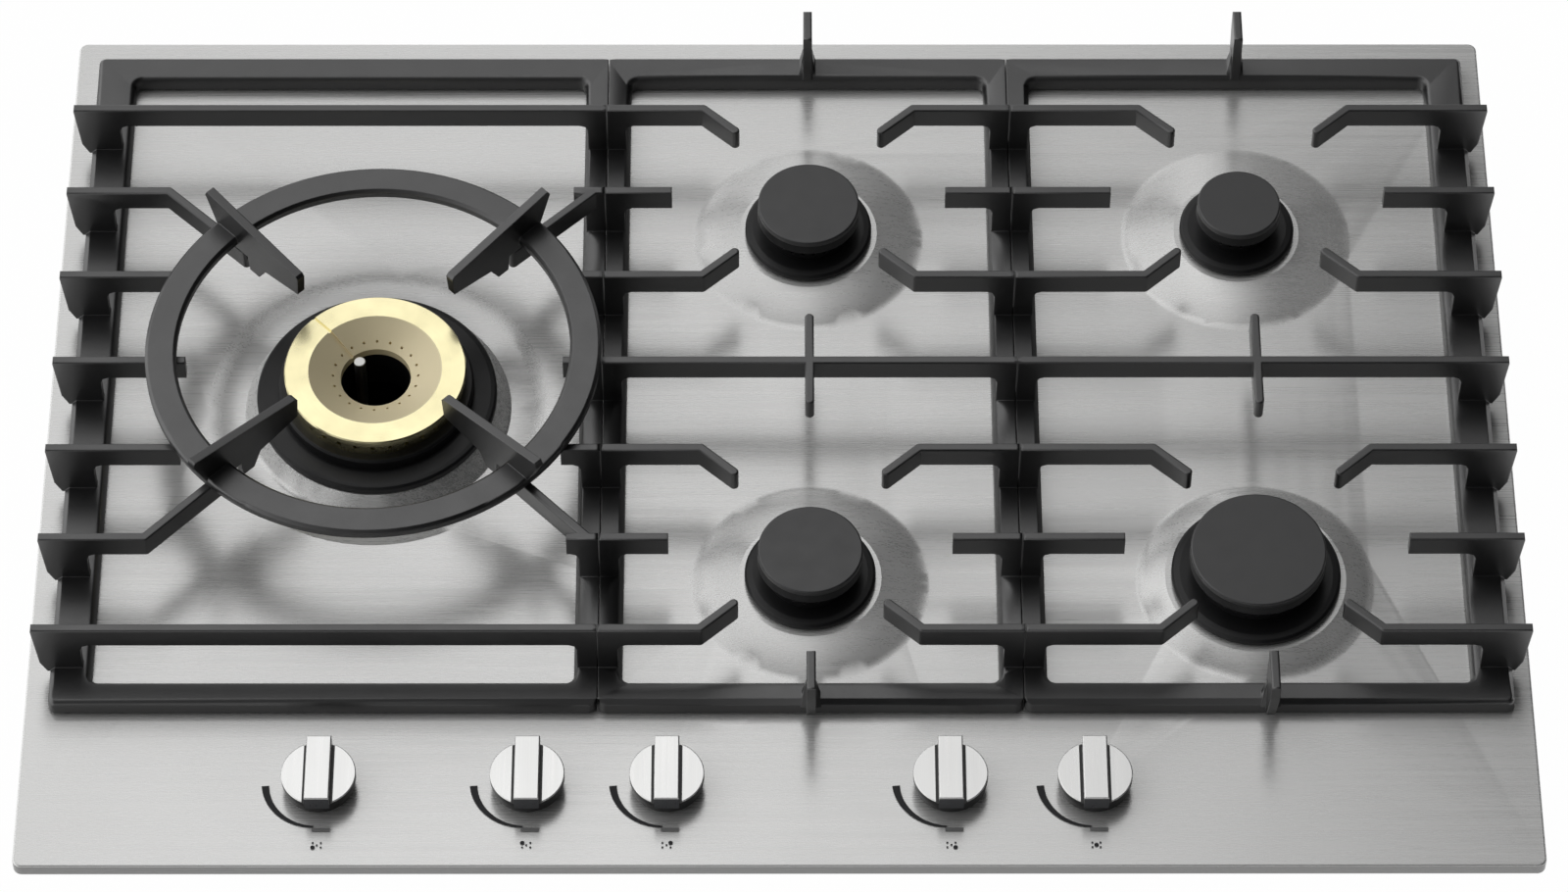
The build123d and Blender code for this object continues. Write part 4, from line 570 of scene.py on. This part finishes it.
@dataclass
class TopPlate:
    """The brushed plate and what is printed on it."""

    shop: Workshop
    arc_radius: float = 25.5 * MM
    arc_shift: Span = (-1.2 * MM, 1.6 * MM)
    arc_wide: float = 3.8 * MM
    arc_thin: float = 0.9 * MM
    arc_start: float = 184.0
    arc_end: float = 268.0
    arc_steps: int = 40
    ink: float = 0.03 * MM
    low_bar: Span = (9.0 * MM, 2.0 * MM)
    low_place: Span = (1.6 * MM, -25.6 * MM)
    mark_y: float = -248.0 * MM
    mark_dot: float = 0.5 * MM
    large_dot: float = 2.2
    dot_sides: int = 20
    upright_over: float = 0.7
    mark_spread: Span = (2.0 * MM, 1.3 * MM)
    crease: float = 13.0

    def build(self, knobs: list[Vector]) -> None:
        """Builds the plate and its prints.

        Args:
            knobs: The knobs' axes, each with the plate's top as its height.
        """
        self.plate()
        for number, axis in enumerate(knobs, start=1):
            self.arc(number, axis)
            self.low_mark(number, axis)
            self.position_mark(number, axis)

    def plate(self) -> None:
        """The plate as a joined mesh with a grain map for its stretched highlights."""
        mesh = merged_copy("top_plate")
        grain = mesh.loops.layers.uv.new("grain")
        for face in mesh.faces:
            upright = abs(face.normal.y) > self.upright_over
            for loop in face.loops:
                point = loop.vert.co
                loop[grain].uv = (point.z if upright else point.y, point.x)
        piece = self.shop.add("brushed_plate", mesh, PLATE_STEEL, "root", Slot.PLATE, ("top_plate",))
        smooth_by_angle(piece, self.crease)

    def arc(self, number: int, axis: Vector) -> None:
        """The printed arc that narrows from off to low beside one knob."""
        mesh = bmesh.new()
        ends = [mesh.verts.new((self.arc_radius + side * 0.5 * self.arc_wide, 0.0, 0.0)) for side in (-1, 1)]
        edge = mesh.edges.new(ends)
        sweep = radians(self.arc_end - self.arc_start)
        turned = Matrix.Rotation(radians(self.arc_start), 4, "Z")
        bmesh.ops.transform(mesh, matrix=turned, verts=mesh.verts)
        bmesh.ops.spin(mesh, geom=[*ends, edge], cent=(0, 0, 0), axis=(0, 0, 1), steps=self.arc_steps,
                       angle=sweep)
        for vert in mesh.verts:
            share = (atan2(vert.co.y, vert.co.x) % (2 * pi) - radians(self.arc_start)) / sweep
            width = 1.0 - share * (1.0 - self.arc_thin / self.arc_wide)
            radius = hypot(vert.co.x, vert.co.y)
            vert.co *= (self.arc_radius + (radius - self.arc_radius) * width) / radius
        self.printed(f"knob_arc_{number}", mesh, axis + Vector((*self.arc_shift, 0.0)))

    def low_mark(self, number: int, axis: Vector) -> None:
        """The faint bar at the arc's thin end."""
        mesh = bmesh.new()
        wide, tall = self.low_bar
        shape = Matrix.Diagonal((wide / 2, tall / 2, 1.0, 1.0))
        bmesh.ops.create_grid(mesh, x_segments=1, y_segments=1, size=1.0, matrix=shape)
        self.printed(f"knob_low_mark_{number}", mesh, axis + Vector((*self.low_place, 0.0)), FAINT_INK)

    def position_mark(self, number: int, axis: Vector) -> None:
        """The dots that show which burner a knob feeds: four small ones and one large."""
        places = [(-1, -1), (-1, 1), (1, 1), (1, -1), (0, 0)]
        mesh = bmesh.new()
        for index, (across, up) in enumerate(places, start=1):
            size = self.mark_dot * (self.large_dot if index == number else 1.0)
            spot = Matrix.Translation((across * self.mark_spread[0], up * self.mark_spread[1], 0.0))
            bmesh.ops.create_circle(mesh, cap_ends=True, segments=self.dot_sides, radius=size, matrix=spot)
        self.printed(f"burner_mark_{number}", mesh, Vector((axis.x, self.mark_y, axis.z)))

    def printed(self, name: str, mesh: bmesh.types.BMesh, origin: Vector, ink: Finish = PRINT_INK) -> None:
        """Gives a flat shape its ink thickness and lays it on the plate.

        Args:
            name: The print's name.
            mesh: Its flat shape, which is freed.
            origin: Where its middle goes on the plate's top.
            ink: Its finish.
        """
        raised = bmesh.ops.extrude_face_region(mesh, geom=mesh.faces[:])["geom"]
        top = [part for part in raised if isinstance(part, bmesh.types.BMVert)]
        bmesh.ops.translate(mesh, vec=(0.0, 0.0, self.ink), verts=top)
        bmesh.ops.recalc_face_normals(mesh, faces=mesh.faces)
        bmesh.ops.translate(mesh, vec=origin, verts=mesh.verts)
        self.shop.add(name, mesh, ink, "root", Slot.BURNER)


@dataclass
class Burners:
    """The capped burners and the wok burner."""

    shop: Workshop
    capped: tuple[str, ...] = ("semirapid_rear", "semirapid_front", "rapid", "aux")
    cone_edge: float = 34.0 * MM
    brass: Colour = (0.97, 0.88, 0.54)
    brass_roughness: float = 0.24
    cone: Colour = (0.95, 0.83, 0.54)

    def build(self) -> None:
        """Dresses every burner's pieces."""
        for node in ("semirapid_bases", "rapid_base", "aux_base", "wok_base", "wok_crown"):
            self.shop.dress(node, BURNER_BLACK)
        for name in self.capped:
            self.shop.dress(f"{name}_crown", BURNER_BLACK)
            self.shop.dress(f"{name}_cap", CAP_ENAMEL)
        low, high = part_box("wok_flame_ring")
        centre = (low + high) / 2
        brass = TurnedMetal("flame_ring_brass", self.brass, self.brass_roughness,
                            centre=(centre.x, centre.y), dull=self.cone, dull_inside=self.cone_edge)
        self.shop.dress("wok_flame_ring", brass)


@dataclass
class Knobs:
    """The five knobs."""

    shop: Workshop
    count: int = 5
    steel_from: float = 11.6 * MM
    end_from: float = 8.6 * MM
    dome_rise: float = 6.0 * MM

    def axes(self) -> list[Vector]:
        """Each knob's axis at the height of the plate's top."""
        plate_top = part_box("stem_gaskets")[1].z
        found = []
        for number in range(1, self.count + 1):
            low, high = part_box(f"tap_plug_{number}")
            found.append(Vector(((low.x + high.x) / 2, (low.y + high.y) / 2, plate_top)))
        return found

    def build(self) -> None:
        """Dresses the knobs and their stems."""
        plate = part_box("top_plate")[1].z - self.dome_rise
        # The knob finish paints shade on the disc's side wall and a dark reflection on each grip's
        # front-facing end.
        steel = KnobSteel("satin_knob", STEEL, 0.3, grain=Grain.ALONG_Y, lines=1800.0,
                          edge_height=plate + self.steel_from, end_height=plate + self.end_from)
        for number in range(1, self.count + 1):
            self.shop.dress(f"knob_{number}", steel)
            self.shop.dress(f"tap_stem_{number}", BRIGHT_ZINC)
            self.shop.dress(f"tap_plug_{number}", FITTING_BRASS)


@dataclass
class PanSupports:
    """The three pan supports, their feet and the wok stand."""

    shop: Workshop
    names: tuple[str, ...] = ("left", "centre", "right")
    crease: float = 40.0
    flat_within: float = 0.3
    seam_reach: float = 1.4 * MM
    seam_gap: float = 0.4 * MM

    def build(self) -> None:
        """Builds the iron pieces and dresses their rubber feet."""
        boxes = [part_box(f"{name}_grate") for name in self.names]
        seams = [(before[1].x + after[0].x) / 2 for before, after in zip(boxes, boxes[1:])]
        for name in self.names:
            self.iron(f"{name}_grate", seams)
            self.shop.dress(f"{name}_grate_feet", BLACK_RUBBER)
        self.iron("wok_stand", [])

    def iron(self, node: str, seams: list[float]) -> None:
        """One iron piece as a joined mesh with whole flat faces and a dark line at each seam.

        Args:
            node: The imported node, which is also its body.
            seams: Where neighbouring supports meet, along X.
        """
        mesh = merged_copy(node)
        for vert in mesh.verts:
            for seam in seams:
                beside = vert.co.x - seam
                if abs(beside) < self.seam_reach:
                    vert.co.x = seam + (self.seam_gap / 2 if beside > 0.0 else -self.seam_gap / 2)
        bmesh.ops.dissolve_limit(mesh, angle_limit=radians(self.flat_within), verts=mesh.verts,
                                 edges=mesh.edges)
        piece = self.shop.add(f"cast_{node}", mesh, GRATE_IRON, node, Slot.IRON, (node,))
        smooth_by_angle(piece, self.crease)


@dataclass
class BoxAndGasWay:
    """The burner box and everything in it."""

    shop: Workshop
    finishes: dict[Finish, tuple[str, ...]] = field(default_factory=lambda: {
        BOX_ZINC: ("burner_box", "cup_brackets"),
        BRIGHT_ZINC: ("box_nuts", "worktop_clamps", "clamp_screws", "gas_rail", "inlet_nut", "tap_screws",
                      "plug_springs", "base_screws", "spark_pins", "tap_bonnets"),
        FITTING_BRASS: ("injectors", "gas_inlet", "thermocouples"),
        CAST_ALUMINIUM: ("tap_bodies", "gas_pipes"),
        SEAL_FOAM: ("rim_seal",),
        CERAMIC_GLAZE: ("spark_insulators",),
        MODULE_PLASTIC: ("ignition_module", "terminal_block"),
        LEAD_SILICONE: ("ignition_leads",),
        BLACK_RUBBER: ("stem_gaskets",),
    })

    def build(self) -> None:
        """Dresses the nodes of the box."""
        for finish, nodes in self.finishes.items():
            for node in nodes:
                self.shop.dress(node, finish)


@dataclass(frozen=True)
class SoftLamp:
    """A square soft lamp: its name, place, side and power in watts."""

    name: str
    place: Place
    size: float
    power: float

    def build(self) -> None:
        """Hangs the lamp so that it points at the plate."""
        data = bpy.data.lights.new(self.name, "AREA")
        data.size = self.size
        data.energy = self.power
        lamp = bpy.data.objects.new(self.name, data)
        back = Vector(self.place)
        lamp.matrix_world = Matrix.Translation(back) @ back.to_track_quat("Z", "Y").to_matrix().to_4x4()
        bpy.context.scene.collection.objects.link(lamp)


@dataclass
class Studio:
    """The floor, the lights and the camera."""

    image_width: float = 1600.0
    focal_pixels: float = 6306.0
    camera_place: Place = (-6.8 * MM, -1862.7 * MM, 2610.8 * MM)
    pitch_down: float = 54.1
    yaw: float = 0.29
    roll: float = 0.21
    sensor: float = 36.0
    sees_to: float = 100.0
    floor_size: float = 30.0
    floor_drop: float = 0.5 * MM
    floor_paint: float = 0.9
    floor_white: float = 0.99
    falls_across: tuple[tuple[Span, Span], ...] = (
        ((-0.5, -0.25), (2.0, 1.0)), ((-0.22, 0.0), (0.6, 1.0)),
        ((-0.02, 0.12), (1.0, 0.08)), ((0.42, 0.72), (1.0, 0.15)))
    dark_way: Place = (0.0, -0.62, 0.785)
    fall_round: tuple[Span, Span] = ((0.5, 0.93), (1.0, 0.25))
    lamps: tuple[SoftLamp, ...] = (SoftLamp("key", (-0.15, 1.0, 2.4), 1.6, 3.4),
                                   SoftLamp("fill", (1.8, 0.6, 2.2), 1.4, 0.3))

    def build(self) -> None:
        """Sets up the studio round the object."""
        self.camera()
        self.world()
        self.floor()
        for lamp in self.lamps:
            lamp.build()
        bpy.context.scene.view_settings.view_transform = "Standard"

    def camera(self) -> None:
        """The camera at the photograph's angle."""
        data = bpy.data.cameras.new("camera")
        data.sensor_width = self.sensor
        data.lens = self.focal_pixels * self.sensor / self.image_width
        data.clip_end = self.sees_to
        camera = bpy.data.objects.new("camera", data)
        turn = (Matrix.Rotation(radians(-self.yaw), 4, "Z")
                @ Matrix.Rotation(radians(90.0 - self.pitch_down), 4, "X")
                @ Matrix.Rotation(radians(self.roll), 4, "Z"))
        camera.matrix_world = Matrix.Translation(self.camera_place) @ turn
        bpy.context.scene.collection.objects.link(camera)
        bpy.context.scene.camera = camera

    def world(self) -> None:
        """White for the camera; for light and gloss it dims to the right and round the camera."""
        world = bpy.data.worlds.new("studio")
        bpy.context.scene.world = world
        tree = NodeTree(world)
        way = tree.add("TexCoord", {}).outputs["Generated"]
        across = tree.add("SeparateXYZ", {0: way}).outputs[0]
        light: Source = 1.0
        for fall in self.falls_across:
            light = tree.sum("MULTIPLY", light, tree.remap(across, *fall, soft=True))
        facing = tree.add("VectorMath", {0: way, 1: self.dark_way}, operation="DOT_PRODUCT").outputs["Value"]
        light = tree.sum("MULTIPLY", light, tree.remap(facing, *self.fall_round, soft=True))
        share = tree.white_for("Camera")
        strength = tree.sum("ADD", tree.sum("MULTIPLY", light, tree.sum("SUBTRACT", 1.0, share)), share)
        surround = tree.nodes["Background"]
        surround.inputs["Color"].default_value = (1.0, 1.0, 1.0, 1.0)
        tree.feed(surround.inputs["Strength"], strength)

    def floor(self) -> None:
        """A pale floor that shows white to the camera, keeps the shadow and is clear from below."""
        mesh = bmesh.new()
        bmesh.ops.create_grid(mesh, x_segments=1, y_segments=1, size=self.floor_size / 2,
                              matrix=Matrix.Translation((0.0, 0.0, -self.floor_drop)))
        data = bpy.data.meshes.new("floor")
        mesh.to_mesh(data)
        mesh.free()
        material = bpy.data.materials.new("floor_white")
        tree = NodeTree(material)
        tree.nodes.remove(tree.nodes["Principled BSDF"])
        paint = tree.add("BsdfDiffuse", {"Color": (*[self.floor_paint] * 3, 1.0)}).outputs[0]
        glow = tree.add("Emission", {"Strength": 1.0}).outputs[0]
        share = tree.sum("MULTIPLY", tree.white_for("Camera", "Glossy", "Transmission"), self.floor_white)
        blend = tree.add("MixShader", {0: share, 1: paint, 2: glow}).outputs[0]
        below = tree.add("NewGeometry", {}).outputs["Backfacing"]
        clear = tree.add("BsdfTransparent", {}).outputs[0]
        open_below = tree.add("MixShader", {0: below, 1: blend, 2: clear}).outputs[0]
        tree.feed(tree.nodes["Material Output"].inputs["Surface"], open_below)
        data.materials.append(material)
        floor = bpy.data.objects.new("floor", data)
        bpy.context.scene.collection.objects.link(floor)


def main() -> None:
    """Builds the cooktop's looks and the studio."""
    logging.basicConfig(level=logging.INFO, format="%(message)s")
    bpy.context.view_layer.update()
    shop = Workshop()
    knobs = Knobs(shop)
    TopPlate(shop).build(knobs.axes())
    Burners(shop).build()
    knobs.build()
    PanSupports(shop).build()
    BoxAndGasWay(shop).build()
    Studio().build()


if __name__ == "__main__":
    main()
